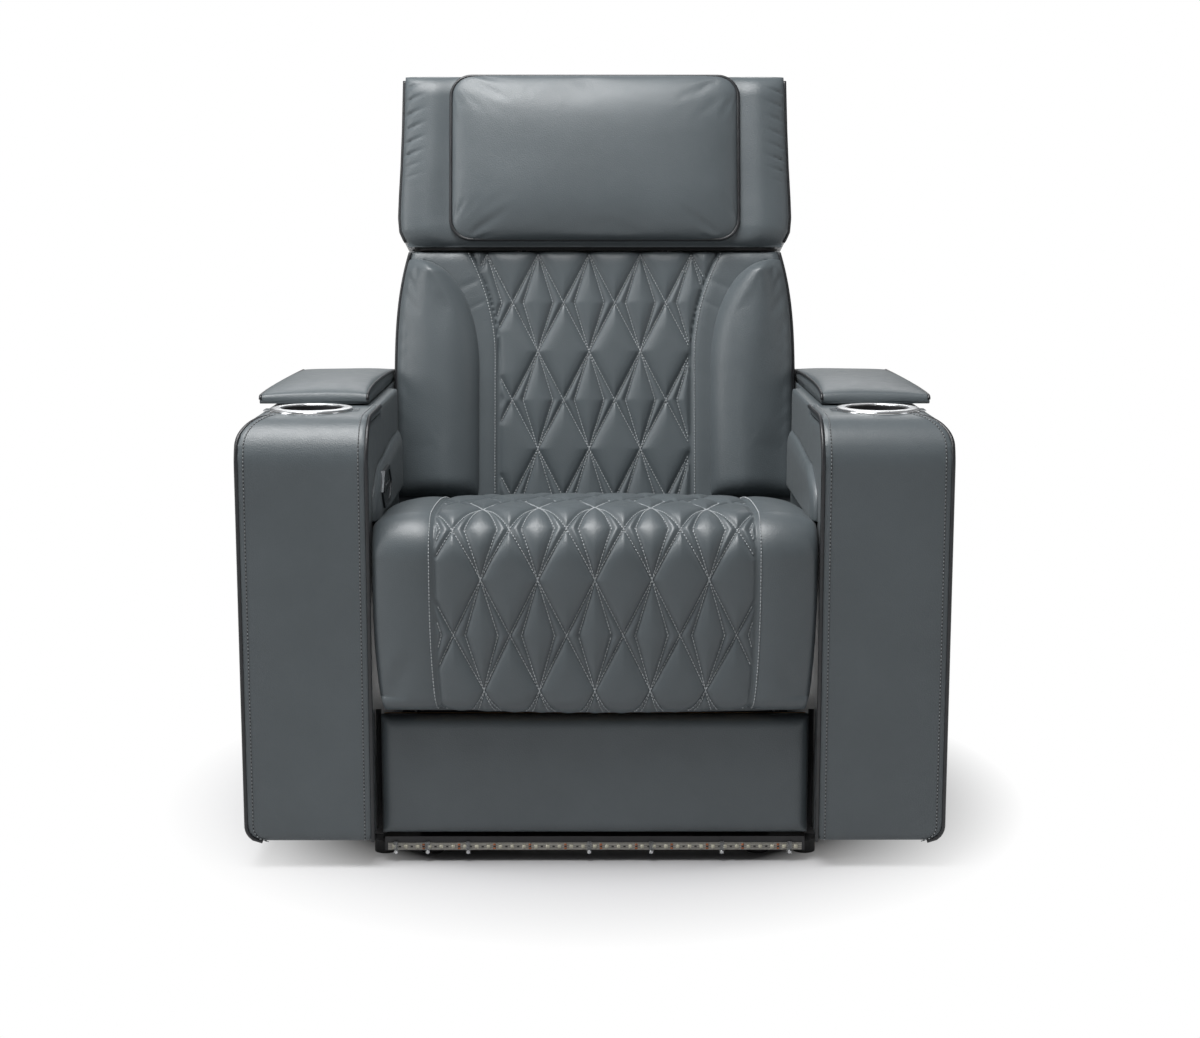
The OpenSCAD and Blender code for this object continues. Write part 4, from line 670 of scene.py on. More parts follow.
FINISHES = {}
MATERIAL_NAMES = {"plywood": "raw_plywood", "strip": "light_strip"}


def finish(name):
    """The materials, each made when it is first asked for."""
    if name not in FINISHES:
        own = bpy.context.scene.recliner_leather
        make = {
            "leather": (leather_finish, own.leather, own.grain),
            "leather_rear": (leather_finish, shade(own.leather, 0.92), own.grain, 0.44),
            "piping": (piping_finish, own.piping),
            "thread": (thread_finish, own.thread),
            "edge_thread": (thread_finish, shade(own.thread, 0.62)),
            "plywood": (wood_finish,),
            "black_steel": (painted_finish, (0.012, 0.012, 0.014)),
            "dark_steel": (painted_finish, (0.035, 0.037, 0.040)),
            "bright_steel": (metal_finish, (0.80, 0.81, 0.82), 0.30, (1, 1, 1), 60),
            "satin_steel": (metal_finish, (0.09, 0.095, 0.10), 0.55, (1, 1, 1), 200),
            "cup_steel": (cup_finish,),
            "zinc_steel": (metal_finish, (0.60, 0.61, 0.62), 0.32, (1, 1, 4), 120),
            "bronze": (metal_finish, (0.58, 0.42, 0.22), 0.38),
            "black_plastic": (plastic_finish, (0.014, 0.014, 0.015)),
            "strip": (strip_finish,),
            "clear_plastic": (clear_finish,),
            "webbing": (woven_finish, (0.20, 0.17, 0.13), 260),
            "dark_cloth": (woven_finish, (0.012, 0.012, 0.013), 320),
            "light_lens": (plastic_finish, (0.52, 0.50, 0.40), 0.25, 400),
            "copper": (metal_finish, (0.52, 0.16, 0.06), 0.4),
        }
        maker, *values = make[name]
        FINISHES[name] = maker(MATERIAL_NAMES.get(name, name), *values)
    return FINISHES[name]


# ---- quilting

def quilt_lines(x, s, wide, high, inner):
    """Distance in millimetres to the nearest quilting seam. Two sets of slanted seams cross at nodes;
    every other diamond has a narrower one inside that shares its top and bottom nodes."""
    a, b = x / wide + s / high, x / wide - s / high
    across = math.hypot(1 / wide, 1 / high)
    near_a = np.abs(a - np.round(a)) / across
    near_b = np.abs(b - np.round(b)) / across
    i, j = np.floor(a), np.floor(b)
    cx, cs = wide * (i + j + 1) / 2, high * (i - j) / 2
    w, h = wide / 2 * inner, high / 2
    slope = math.hypot(1 / w, 1 / h)
    inside = np.abs(np.abs(x - cx) / w + np.abs(s - cs) / h - 1) / slope
    has_inner = np.mod(i + j, 2) != 0
    return np.minimum(np.minimum(near_a, near_b), np.where(has_inner, inside, 1e3))


def quilt_paths(wide, high, inner, x_span, s_span, keep):
    """The quilting seams as rows of (x, s) points: both slanted sets, and the inner diamonds. keep(x, s) is
    true where a seam is sewn."""
    paths = []
    reach = int((x_span[1] - x_span[0]) / wide + (s_span[1] - s_span[0]) / high) + 3
    t = np.linspace(s_span[0], s_span[1], 400)
    for n in range(-reach, reach):
        for sign in (1, -1):
            paths.append(np.stack([wide * (n - sign * t / high), t], -1))
    q = np.linspace(0, 1, 40)
    for i, j in product(range(-reach, reach), repeat=2):
        if (i + j) % 2:
            cx, cs = wide * (i + j + 1) / 2, high * (i - j) / 2
            for sx, ss in product((-1, 1), repeat=2):
                paths.append(np.stack([cx + sx * wide / 2 * inner * q, cs + ss * high / 2 * (1 - q)], -1))
    kept = []
    for p in paths:
        ok = keep(p[:, 0], p[:, 1])
        if ok.sum() > 2:
            runs = np.split(np.arange(len(p)), np.flatnonzero(np.diff(ok.astype(int)) != 0) + 1)
            kept += [p[r] for r in runs if ok[r[0]] and len(r) > 2]
    return kept


def puffed(dist, reach=15.0):
    """Height of the padding over a seam, from 0 to 1: a flat foot, then a quarter round over the reach."""
    dist = np.maximum(dist - 1.5, 0)
    return 0.8 * roll(dist / reach) + 0.2 * ease(dist / (reach * 1.6))


# ---- seat

SEAT_HALF_W, QUILT_HALF_W = 300.0, 216.0
SEAT_DEPTH, SEAT_TOP_Z, LIP_FOOT_Z, LIP_T, SEAT_UNDER_Z = 484.0, 497.0, 218.0, 38.0, 360.0
SEAT_NOSE_R, SEAT_TOE_R, SEAT_FALL, SEAT_CROWN, SEAT_DROP = 66.0, 25.0, 50.0, 5.0, 24.0
SEAT_FIRST_NODE = 50.0
TOE_LEN, NOSE_LEN = SEAT_TOE_R * math.pi / 2, SEAT_NOSE_R * math.pi / 2
LIP_LEN = SEAT_TOP_Z - SEAT_NOSE_R - LIP_FOOT_Z - SEAT_TOE_R
SEAT_LEN = TOE_LEN + LIP_LEN + NOSE_LEN + SEAT_DEPTH - SEAT_NOSE_R


def seat_line(s):
    """Depth, height and outward direction at distance s along the cushion's middle: a quarter round at
    the toe, the straight lip, a quarter round at the nose, and a top that falls as the square of depth."""
    s = np.asarray(s, float)
    a = np.where(s < TOE_LEN, 1.5 * np.pi - s / SEAT_TOE_R,
                 np.where(s < TOE_LEN + LIP_LEN, np.pi,
                          np.maximum(np.pi - (s - TOE_LEN - LIP_LEN) / SEAT_NOSE_R, np.pi / 2)))
    toe, lip = s < TOE_LEN, s < TOE_LEN + LIP_LEN
    d_top = np.maximum(SEAT_NOSE_R + s - TOE_LEN - LIP_LEN - NOSE_LEN, SEAT_NOSE_R)
    fall = SEAT_FALL * ((d_top - SEAT_NOSE_R) / (SEAT_DEPTH - SEAT_NOSE_R)) ** 2
    d = np.where(toe, SEAT_TOE_R + SEAT_TOE_R * np.cos(a), np.where(lip, 0, d_top + SEAT_NOSE_R * np.cos(a)))
    z = np.where(toe, LIP_FOOT_Z + SEAT_TOE_R + SEAT_TOE_R * np.sin(a),
                 np.where(lip, LIP_FOOT_Z + SEAT_TOE_R + s - TOE_LEN,
                          SEAT_TOP_Z - SEAT_NOSE_R + SEAT_NOSE_R * np.sin(a) - fall))
    return d, z, np.cos(a), np.sin(a)


def seat_draw(s):
    """The cushion draws in toward the lip's lower corners, as the cube of the distance below the nose."""
    return 1 - 0.05 * np.clip(1 - s / (TOE_LEN + LIP_LEN), 0, 1) ** 3


def seat_point(x, s):
    """A point of the seat's face: the middle line, sunk by the crown, the rolled sides and the seams."""
    own = bpy.context.scene.recliner_quilt
    d, z, nd, nz = seat_line(s)
    ax = np.abs(x)
    ends = np.minimum(1, s / TOE_LEN)
    border = np.abs(ax - QUILT_HALF_W)
    seam = quilt_lines(x, s - SEAT_FIRST_NODE, own.seat_diamond_w / MM, own.seat_diamond_h / MM, own.inner_share)
    puff = own.puff / MM
    field = SEAT_CROWN * (ax / QUILT_HALF_W) ** 2 \
        + puff * (1 - puffed(np.minimum(seam, border))) * (0.35 + 0.65 * ends)
    q = np.clip((ax - QUILT_HALF_W) / (SEAT_HALF_W - QUILT_HALF_W), 0, 1)
    side = SEAT_CROWN + SEAT_DROP * (1 - np.sqrt(1 - (0.98 * q) ** 2)) * ends + puff * (1 - puffed(border, 24)) \
        + 1.1 * ripple(x, s, 5, 130) * q
    lip_creases = 1.6 * np.exp(-((s - 60) / 55) ** 2) * np.sin((ax + 0.7 * s) / 9.5) \
        * ease((ax - 235) / 40) * ease((SEAT_HALF_W - ax) / 25)
    sink = np.where(ax < QUILT_HALF_W, field, side + lip_creases)
    return in_row(x * seat_draw(s), d - nd * sink, z - nz * sink)


def on_face(point, x, s):
    """Points on a face given by point(x, s), with the normals there from small steps both ways."""
    p = point(x, s)
    n = unit(np.cross(point(x + 0.6, s) - point(x - 0.6, s), point(x, s + 0.6) - point(x, s - 0.6)))
    return p, n


def seam_rows(paths, point, outward, step):
    """Stitches along (x, s) paths on a face. outward picks the side on which the thread lies."""
    parts = []
    for path in paths:
        p, n = on_face(point, path[:, 0], path[:, 1])
        out = outward(path[:, 0], path[:, 1])
        n = unit(n * np.sign(np.sum(n * out, axis=-1, keepdims=True)) + 1.2 * out)
        parts.append(stitches(p + n * STITCH_LIFT, n, step))
    return joined([p for p in parts if len(p[0])])


def sew_quilting(name, body, point, outward, size, shift, half_w, span, ends, border):
    """Stitches along a face's quilting seams inside its border, whose half width at s is border(s), and along
    both sides of the border. size is a diamond's width and height in metres, shift the place of a node, span
    the reach of the slanted seams, and ends the limits of them all."""
    leather, quilt = bpy.context.scene.recliner_leather, bpy.context.scene.recliner_quilt
    shift = np.array(shift)

    def sewn(x, s):
        x, s = x + shift[0], s + shift[1]
        return (np.abs(x) < border(s) - 3) & (s > ends[0]) & (s < ends[1])

    paths = quilt_paths(size[0] / MM, size[1] / MM, quilt.inner_share, (-half_w, half_w), span - shift[1], sewn)
    line = spread(*ends, 4)
    rows = [p + shift for p in paths] + [np.stack([side * (border(line) + SEAM_BESIDE), line], -1) for side in (-1, 1)]
    add_piece(name, seam_rows(rows, point, outward, leather.stitch_step), body, "thread", smooth=False)


def seat_out(x, s):
    """Outward direction of the seat's middle line."""
    nd, nz = seat_line(s)[2:]
    return np.stack([np.zeros_like(nd), nd, nz], -1)


class RECLINER_OT_seat(bpy.types.Operator):
    """Quilted seat cushion that rolls over into the lip, with its seams"""
    bl_idname = "recliner.seat"
    bl_label = "Seat cushion"

    def execute(self, context):
        s = np.concatenate([spread(0, SEAT_LEN - 60, 2.35), spread(SEAT_LEN - 56, SEAT_LEN, 7)])
        x = np.concatenate([-spread(SEAT_HALF_W, QUILT_HALF_W + 14, 6),
                            spread(-QUILT_HALF_W - 12, QUILT_HALF_W + 12, 2.05),
                            spread(QUILT_HALF_W + 14, SEAT_HALF_W, 6)])
        grid_x, grid_s = np.meshgrid(x, s)
        face = seat_point(grid_x, grid_s)
        lip_s = TOE_LEN + LIP_LEN + NOSE_LEN * 0.6
        rest_d = np.where(s < lip_s, LIP_T, LIP_T + (SEAT_DEPTH - LIP_T) * (s - lip_s) / (SEAT_LEN - lip_s))
        rest_z = np.where(s < lip_s, LIP_FOOT_Z + 1 + (SEAT_UNDER_Z - LIP_FOOT_Z - 1) * s / lip_s, SEAT_UNDER_Z)
        w = SEAT_HALF_W * seat_draw(s) * 0.985
        parts = pad(face, in_row(-w, rest_d, rest_z), in_row(w, rest_d, rest_z), 6, 0.0012)
        piece = add_piece("seat_cushion_cover", parts, "base", node="seat_cushion")
        own = context.scene.recliner_quilt
        sew_quilting("seat_stitching", "base", seat_point, seat_out, (own.seat_diamond_w, own.seat_diamond_h),
                     (0, SEAT_FIRST_NODE), QUILT_HALF_W, np.array([6, SEAT_LEN - 12]), (6, SEAT_LEN - 10),
                     lambda s: np.full_like(s, QUILT_HALF_W))
        return {"FINISHED"}


# ---- back

BORDER_NARROW, BORDER_FLARE, BORDER_NARROW_V, BORDER_TOP_V = 152.0, 42.0, 194.0, 360.0
BACK_HALF_W, WAIST_HALF_W, SHOULDER_V = 318.0, 296.0, 146.0
COVER_T, BACK_PAD_T = 8.0, 52.0
BACK_FIRST_NODE_V, BACK_SHIFT = 361.0, -9.0
BOLSTER_FOOT_V, BOLSTER_TOP_V, BOLSTER_BEND_V, BOLSTER_IN, BOLSTER_H = -28.0, 353.0, 164.0, 182.0, 42.0


def back_w(v):
    """Half width of the back: straight beside the arms, then drawn in to the waist as a cube."""
    above = np.clip((v - SHOULDER_V) / (BACK_TOP_V - SHOULDER_V), 0, None)
    return BACK_HALF_W - (BACK_HALF_W - WAIST_HALF_W) * above ** 3


def border_w(v):
    """Half width of the quilted field: straight, flaring as a square toward the top."""
    above = np.clip((v - BORDER_NARROW_V) / (BORDER_TOP_V - BORDER_NARROW_V), 0, None)
    return BORDER_NARROW + BORDER_FLARE * above ** 2


def bolster_inner(v):
    """Inner edge of a bolster: straight, then a superellipse out to the back's edge at the top."""
    q = np.clip((v - BOLSTER_BEND_V) / (BOLSTER_TOP_V - BOLSTER_BEND_V), 0, 1)
    w = back_w(v) - 4
    return w - (w - BOLSTER_IN) * (1 - q ** 2.4) ** (1 / 2.4)


def back_t(x, v):
    """Depth of the back's padded face behind the front plane: quilted field, border seam and plain band."""
    own = bpy.context.scene.recliner_quilt
    ax, b = np.abs(x), border_w(v)
    seam = quilt_lines(x - BACK_SHIFT, v - BACK_FIRST_NODE_V, own.back_diamond_w / MM, own.back_diamond_h / MM,
                       own.inner_share)
    border = np.abs(ax - b)
    ends = roll(np.minimum(v - BACK_FOOT_V, BACK_TOP_V - v) / 20)
    puff = own.puff / MM * 1.05
    field = COVER_T - (COVER_T - 0.5) * ends + puff * (1 - puffed(np.minimum(seam, border))) - 0.5
    fan = (v + 0.5 * ax) / 7.5 + 1.6 * np.sin(v / 31 + ax / 47)
    folds = 0.9 * (np.exp(-(np.sin(fan / 2) / 0.38) ** 2) - 0.3) * ease((v - 235) / 70) \
        * ease((ax - b - 6) / 10) * ease((b + 62 - ax) / 30)
    band = COVER_T - 5.5 * ends + puff * 0.9 * (1 - puffed(border, 12)) + folds
    under = bolster_inner(v) + 6
    band = band + (COVER_T - 0.1 - band) * ease((ax - under) / 8) * (v < BOLSTER_TOP_V - 4)
    band = band + (COVER_T - 0.6 - band) * ease((ax - back_w(v) + 14) / 10)
    return np.where(ax < b, field, band)


def back_point(x, v):
    """A point of the back's padded face."""
    return in_back(x, back_t(x, v), v)


def back_out(x, v):
    """Outward direction of the back's front plane."""
    return np.broadcast_to(np.array([0, -math.cos(LEAN), math.sin(LEAN)]), np.shape(x) + (3,))


def back_walls(w, w_in, v, rear_v, edge_t, rear_t):
    """Points down both sides of a padded form on the back: at the face's edge, inward from it, and at the rear."""
    return [[in_back(side * w, edge_t, v), in_back(side * w_in, edge_t, rear_v), in_back(side * w_in, rear_t, rear_v)]
            for side in (1, -1)]


class RECLINER_OT_back(bpy.types.Operator):
    """Quilted middle of the back with its border, bands and seams"""
    bl_idname = "recliner.back"
    bl_label = "Back cushion"

    def execute(self, context):
        v = spread(BACK_TOP_V, BACK_FOOT_V, 2.3)
        share = np.linspace(-1, 1, 251)
        w, w_in = back_w(v) - 3.5, back_w(v) - SKIN - 0.3
        grid_x = w[:, None] * np.sign(share) * (0.78 * np.abs(share) + 0.22 * share ** 2)[None, :]
        grid_v = np.broadcast_to(v[:, None], grid_x.shape)
        parts = shut(back_point(grid_x, grid_v), *back_walls(w, w_in, v, v, COVER_T - 0.2, BACK_PAD_T))
        piece = add_piece("back_cushion_cover", parts, "back", node="back_cushion", angle=50)
        own = context.scene.recliner_quilt
        span = np.array([BACK_FOOT_V + 8, BACK_TOP_V - 3])
        sew_quilting("back_stitching", "back", back_point, back_out, (own.back_diamond_w, own.back_diamond_h),
                     (BACK_SHIFT, BACK_FIRST_NODE_V), 200, span, span, border_w)
        return {"FINISHED"}


class RECLINER_OT_bolsters(bpy.types.Operator):
    """Raised bolsters at both sides of the back"""
    bl_idname = "recliner.bolsters"
    bl_label = "Back bolsters"

    def execute(self, context):
        rows, cols = 76, 40
        r = np.linspace(0, 1, rows)
        down = 0.004 + 0.996 * (0.35 * r + 0.65 * (1 - np.cos(np.pi / 2 * r)))
        v = BOLSTER_TOP_V - (BOLSTER_TOP_V - BOLSTER_FOOT_V) * down
        c = np.linspace(0, 1, cols)
        inner, outer = bolster_inner(v), back_w(v) - 3
        x = inner[:, None] + (outer - inner)[:, None] * c[None, :]
        width = (outer - inner)[:, None]
        grid_v = np.broadcast_to(v[:, None], x.shape)
        rise = roll(c * 2.1)[None, :] ** 1.25 * (1 - 0.55 * ease((c[None, :] - 0.35) / 0.65) * np.ones_like(x))
        rise = rise * roll((outer[:, None] - x) / 14) * np.clip(width / 70, 0, 1) ** 0.6
        rise = rise * roll((v - BOLSTER_FOOT_V)[:, None] / 30 + 0.02) * roll((BOLSTER_TOP_V - v)[:, None] / 26 + 0.03)
        lift = (BOLSTER_H - 4) * rise
        wrinkle = 0.8 * ripple(x, grid_v, 3, 150) * rise + 0.9 * np.sin(grid_v / 5.2 + np.sin(grid_v / 17)) \
            * ease((x - outer[:, None] + 34) / 30) * rise * ease((grid_v - 40) / 60)
        t = COVER_T - 0.3 - 1 - lift - wrinkle
        for side in (-1, 1):
            parts = pad(in_back(x, t, grid_v), in_back(inner, COVER_T - 0.4, v), in_back(outer, COVER_T - 0.4, v))
            piece = add_piece(f"back_bolster_{side_name(side)}", on_side(parts, side), "back", node="back_bolsters")
            swell(piece, held(parts, rows, cols, 2, 12), 0.004, 2.0)
        return {"FINISHED"}


# ---- head section

HEAD_HALF_W, WING_W, WING_H, WING_FOOT_V, PLEAT_STEP = 307.0, 84.0, 20.0, 370.5, 20.0
PILLOW_HALF_W = 230.0
PILLOW_FOOT_V, PILLOW_TOP_V, PILLOW_T, PILLOW_CORNER_R = 379.0, 644.0, 45.0, 34.0
PILLOW_RIM_T, PILLOW_DRAW = -14.0, 3.4


def head_edge(v):
    """Half width of the head section, which bows out above its lower corners."""
    return np.interp(v, [377, 384, 396, 418, 450, 500, 560, 643], [301.5, 306, 311.5, 313.5, 312.5, 310, 308, 306.5])


class RECLINER_OT_head(bpy.types.Operator):
    """Head section's padding with a raised, pleated wing at each side"""
    bl_idname = "recliner.head"
    bl_label = "Head wings"

    def execute(self, context):
        top_v = HEAD_TOP_V + 3.0
        v = np.concatenate([spread(top_v, HEAD_FOOT_V + 0.3, 2.6), [376.8, 375.4, 373.6, 371.8, 370.8]])
        w, w_in = head_edge(v) - 3.5, np.full_like(v, HEAD_HALF_W - SKIN - 0.3)
        share = np.concatenate([-spread(1, 0.70, 0.0085), spread(-0.62, 0.62, 0.1), spread(0.70, 1, 0.0085)])
        grid_x = w[:, None] * share[None, :]
        grid_v = np.broadcast_to(v[:, None], grid_x.shape)
        from_edge = w[:, None] - np.abs(grid_x)
        q = np.clip(from_edge / WING_W, 0, 1)
        ends = roll((grid_v - WING_FOOT_V) / 34) * roll((top_v + 1 - grid_v) / 36)
        slant = (grid_v - 0.32 * from_edge + 5 * np.sin(grid_v / 37)) / PLEAT_STEP * np.pi + (grid_x > 0) * 1.3
        pleats = np.exp(-(np.sin(slant) / 0.36) ** 2) * np.exp(-((from_edge - 6) / 17) ** 2) * ease(from_edge / 5) \
            * ease((grid_v - 455) / 60) * ease((top_v - grid_v) / 26) * (0.75 + 0.5 * ripple(grid_x, grid_v, 17, 60))
        rise = roll(q * 1.3) * (1 - 0.35 * ease((q - 0.45) / 0.55))
        uneven = 1.2 * ripple(grid_x, grid_v, 8, 120) * q * ends
        t = COVER_T - 1.2 - (5.5 + WING_H * rise) * ends - uneven + 4.4 * pleats
        rear_v = np.minimum(v, HEAD_TOP_V - SKIN - 0.3)
        flap = v < HEAD_FOOT_V
        t = np.where(flap[:, None], np.minimum(t, 0.2), t)
        edge_t, rear_t = np.where(flap, 0.6, COVER_T - 0.2), np.where(flap, 0.6, BACK_PAD_T)
        parts = shut(in_back(grid_x, t, grid_v), *back_walls(w, w_in, v, rear_v, edge_t, rear_t))
        piece = add_piece("head_wings", parts, "head", node="head_cushion", angle=50)
        return {"FINISHED"}


def pillow_outline(q):
    """Half width of the pillow's face at share q of its height: straight sides with round corners, drawn in."""
    from_end = np.minimum(q, 1 - q) * (PILLOW_TOP_V - PILLOW_FOOT_V)
    r = PILLOW_CORNER_R
    corner = np.where(from_end >= r, 0, r - np.sqrt(np.maximum(r * r - (r - from_end) ** 2, 0)))
    return PILLOW_HALF_W - PILLOW_DRAW - corner


class RECLINER_OT_pillow(bpy.types.Operator):
    """Crowned pillow with round corners and piping round its front"""
    bl_idname = "recliner.pillow"
    bl_label = "Head pillow"

    def execute(self, context):
        rows, cols = 66, 96
        share_r = 0.5 - 0.5 * np.cos(np.pi * np.linspace(0.004, 0.996, rows))
        share_c = 0.5 - 0.5 * np.cos(np.pi * np.linspace(0, 1, cols))
        u = 2 * share_c - 1
        v = PILLOW_TOP_V - (PILLOW_TOP_V - PILLOW_FOOT_V) * share_r
        half = pillow_outline(share_r)
        x = half[:, None] * u[None, :]
        q = 2 * share_r[:, None] - 1
        grid_v = np.broadcast_to(v[:, None], x.shape)
        out = np.abs(u)[None, :]
        crown = np.sqrt(np.clip((1 - out ** 4) * (1 - np.abs(q) ** 3.2), 0, 1))
        puckers = 0.5 * np.sin(grid_v / 6.1 + np.sin(grid_v / 19)) * np.exp(-((1 - out) * PILLOW_HALF_W / 14) ** 2)
        t = PILLOW_RIM_T - (PILLOW_T - 17) * crown - (0.9 * ripple(x, grid_v, 11, 190) + puckers) * crown
        walls = [[in_back(side * half, PILLOW_RIM_T * 0.5, v), in_back(side * (half - 4), -0.6, v)] for side in (1, -1)]
        parts = shut(in_back(x, t, grid_v), *walls)
        piece = add_piece("head_pillow_cover", parts, "head", node="head_pillow")
        swell(piece, held(parts, rows, cols, 2, 2), 0.0032, 1.0)
        r = PILLOW_CORNER_R
        cx, cv = PILLOW_HALF_W - r, (PILLOW_TOP_V - PILLOW_FOOT_V) / 2 - r
        path = rounded_path(cx, cv, r - 1.6)
        ring = in_back(path[:, 0], PILLOW_RIM_T - 0.5, (PILLOW_TOP_V + PILLOW_FOOT_V) / 2 + path[:, 1])
        bar = tube(ring, context.scene.recliner_leather.piping_r, back_out(0.0, 0.0), True)
        add_piece("pillow_piping", bar, "head", "piping")
        return {"FINISHED"}


def rounded_path(half_w, half_h, r, step=3.0):
    """A closed rounded rectangle: four straight runs joined by quarter rounds of radius r, round the corners'
    centres at plus and minus half_w and half_h."""
    centres = np.array([(half_w, half_h), (-half_w, half_h), (-half_w, -half_h), (half_w, -half_h)])
    parts = []
    for k, (centre, after) in enumerate(zip(centres, np.roll(centres, -1, 0))):
        a = np.linspace(0, np.pi / 2, 14) + k * np.pi / 2
        turn = centre + r * np.stack([np.cos(a), np.sin(a)], -1)
        n = max(2, int(np.linalg.norm(after - centre) / step))
        parts += [turn[:-1], turn[-1] + (after - centre) * (np.arange(n) / n)[:, None]]
    return np.concatenate(parts)


# ---- arms

def arm_profile():
    """Depth and height along the arm's front panel: up the front, a quarter round over the nose, and back
    along the deck to the lid, with the outward direction."""
    up = spread(ARM_FOOT_Z, ARM_TOP_Z - NOSE_R, 4)
    a = np.linspace(np.pi, np.pi / 2, 26)[1:]
    back = spread(ARM_FRONT_D + NOSE_R, LID_D - 2, 4)[1:]
    d = np.concatenate([np.full_like(up, ARM_FRONT_D), ARM_FRONT_D + NOSE_R + NOSE_R * np.cos(a), back])
    z = np.concatenate([up, ARM_TOP_Z - NOSE_R + NOSE_R * np.sin(a), np.full_like(back, ARM_TOP_Z)])
    nd = np.concatenate([np.full_like(up, -1.0), np.cos(a), np.zeros_like(back)])
    nz = np.concatenate([np.zeros_like(up), np.sin(a), np.ones_like(back)])
    return d, z, nd, nz


def arm_edge_x(z):
    """Outer edge of the arm at a height: the side, with quarter rounds at shoulder and heel."""
    top = np.clip(z - (ARM_TOP_Z - SHOULDER_R), 0, SHOULDER_R)
    low = np.clip(ARM_FOOT_Z + HEEL_R - z, 0, HEEL_R)
    return ARM_OUT - SHOULDER_R - HEEL_R + np.sqrt(SHOULDER_R ** 2 - top ** 2) + np.sqrt(HEEL_R ** 2 - low ** 2)


class RECLINER_OT_arms(bpy.types.Operator):
    """Leather panels of both arms with their piping and edge stitching, and near-black marks of painted shade in the
    needle holes between the stitches
    """
    bl_idname = "recliner.arms"
    bl_label = "Arm panels"

    def execute(self, context):
        own = context.scene.recliner_leather
        for side in (-1, 1):
            name = side_name(side)
            for part in ("arm_front", "arm_outer", "arm_inner"):
                soft_copy(f"{part}_{name}", f"{part}_{name}_cover")
            d, z, nd, nz = arm_profile()
            normal = np.stack([np.zeros_like(nd), nd, nz], -1)
            out = in_row(arm_edge_x(z) - 1.8, d - nd * 2.4, z - nz * 2.4)
            inner = in_row(np.full_like(d, ARM_IN + 0.6), d - nd * 1.4, z - nz * 1.4)
            bars = joined([tube(p, own.piping_r, ACROSS) for p in (out, inner)])
            add_piece(f"arm_piping_{name}", on_side(bars, side), "base", "piping")
            rows, hole_shades = [], []
            for x in (arm_edge_x(z) - SEAM_IN, np.full_like(d, ARM_IN + SEAM_IN)):
                path = in_row(x, d + nd * 0.2, z + nz * 0.2)
                rows.append(stitches(path, normal, EDGE_STEP, 0.0028, 0.0014, 0.0006))
                # Painted shade: near-black marks between the stitches stand in for the shade in the needle holes
                path[0] += EDGE_STEP / 2 * unit(path[1] - path[0])
                hole_shades.append(stitches(path, normal, EDGE_STEP, 0.0024, 0.0018, 0.0004))
            add_piece(f"arm_stitching_{name}", on_side(joined(rows), side), "base", "edge_thread", smooth=False)
            add_piece(f"arm_needle_hole_shades_{name}", on_side(joined(hole_shades), side), "base", "piping", smooth=False)
        return {"FINISHED"}


ARM_PAD_FOOT_Z, ARM_PAD_TOP_Z, ARM_PAD_RISE, ARM_PAD_T = 474.0, 544.0, 14.0, 10.0
ARM_PAD_FRONT_D, ARM_PAD_SWEEP, ARM_PAD_REAR_D = 70.0, 82.0, 440.0


class RECLINER_OT_arm_pads(bpy.types.Operator):
    """Padded bolsters on the inner sides of the arms"""
    bl_idname = "recliner.arm_pads"
    bl_label = "Arm bolsters"

    def execute(self, context):
        rows, cols = 30, 92
        q = np.linspace(0, 1, rows)
        front = ARM_PAD_FRONT_D + ARM_PAD_SWEEP * q ** 3.4
        c = np.linspace(0, 1, cols)
        d = front[:, None] + (ARM_PAD_REAR_D - front)[:, None] * c[None, :]
        top = ARM_PAD_TOP_Z + ARM_PAD_RISE * ease((d - 130) / 240)
        z = ARM_PAD_FOOT_Z + (top - ARM_PAD_FOOT_Z) * q[:, None]
        run = (ARM_PAD_REAR_D - front)[:, None]
        rise = roll(np.minimum(c, 1 - c)[None, :] * run / 26) * roll((1 - q)[:, None] * 80 / 22)
        x = ARM_IN - 0.6 - (ARM_PAD_T - 0.8) * rise
        walls = [in_row(ARM_IN - 0.2, d[:, k], z[:, k]) for k in (0, -1)]
        for side in (-1, 1):
            parts = pad(in_row(x, d, z), *walls)
            name = side_name(side)
            piece = add_piece(f"arm_bolster_{name}_cover", on_side(parts, side), "base", node=f"arm_bolster_{name}")
        return {"FINISHED"}


LID_NOSE_D, LID_NOSE_Z = (206.9, 207.2, 208.0, 209.7, 212.0), (626.0, 629.0, 631.0, 632.6, 633.0)
LID_FRONT_LEN, LID_RISE_IN, LID_RISE_OUT, LID_CROWN, LID_ROLL_W = 120.0, 10.0, 3.0, 9.5, 72.0


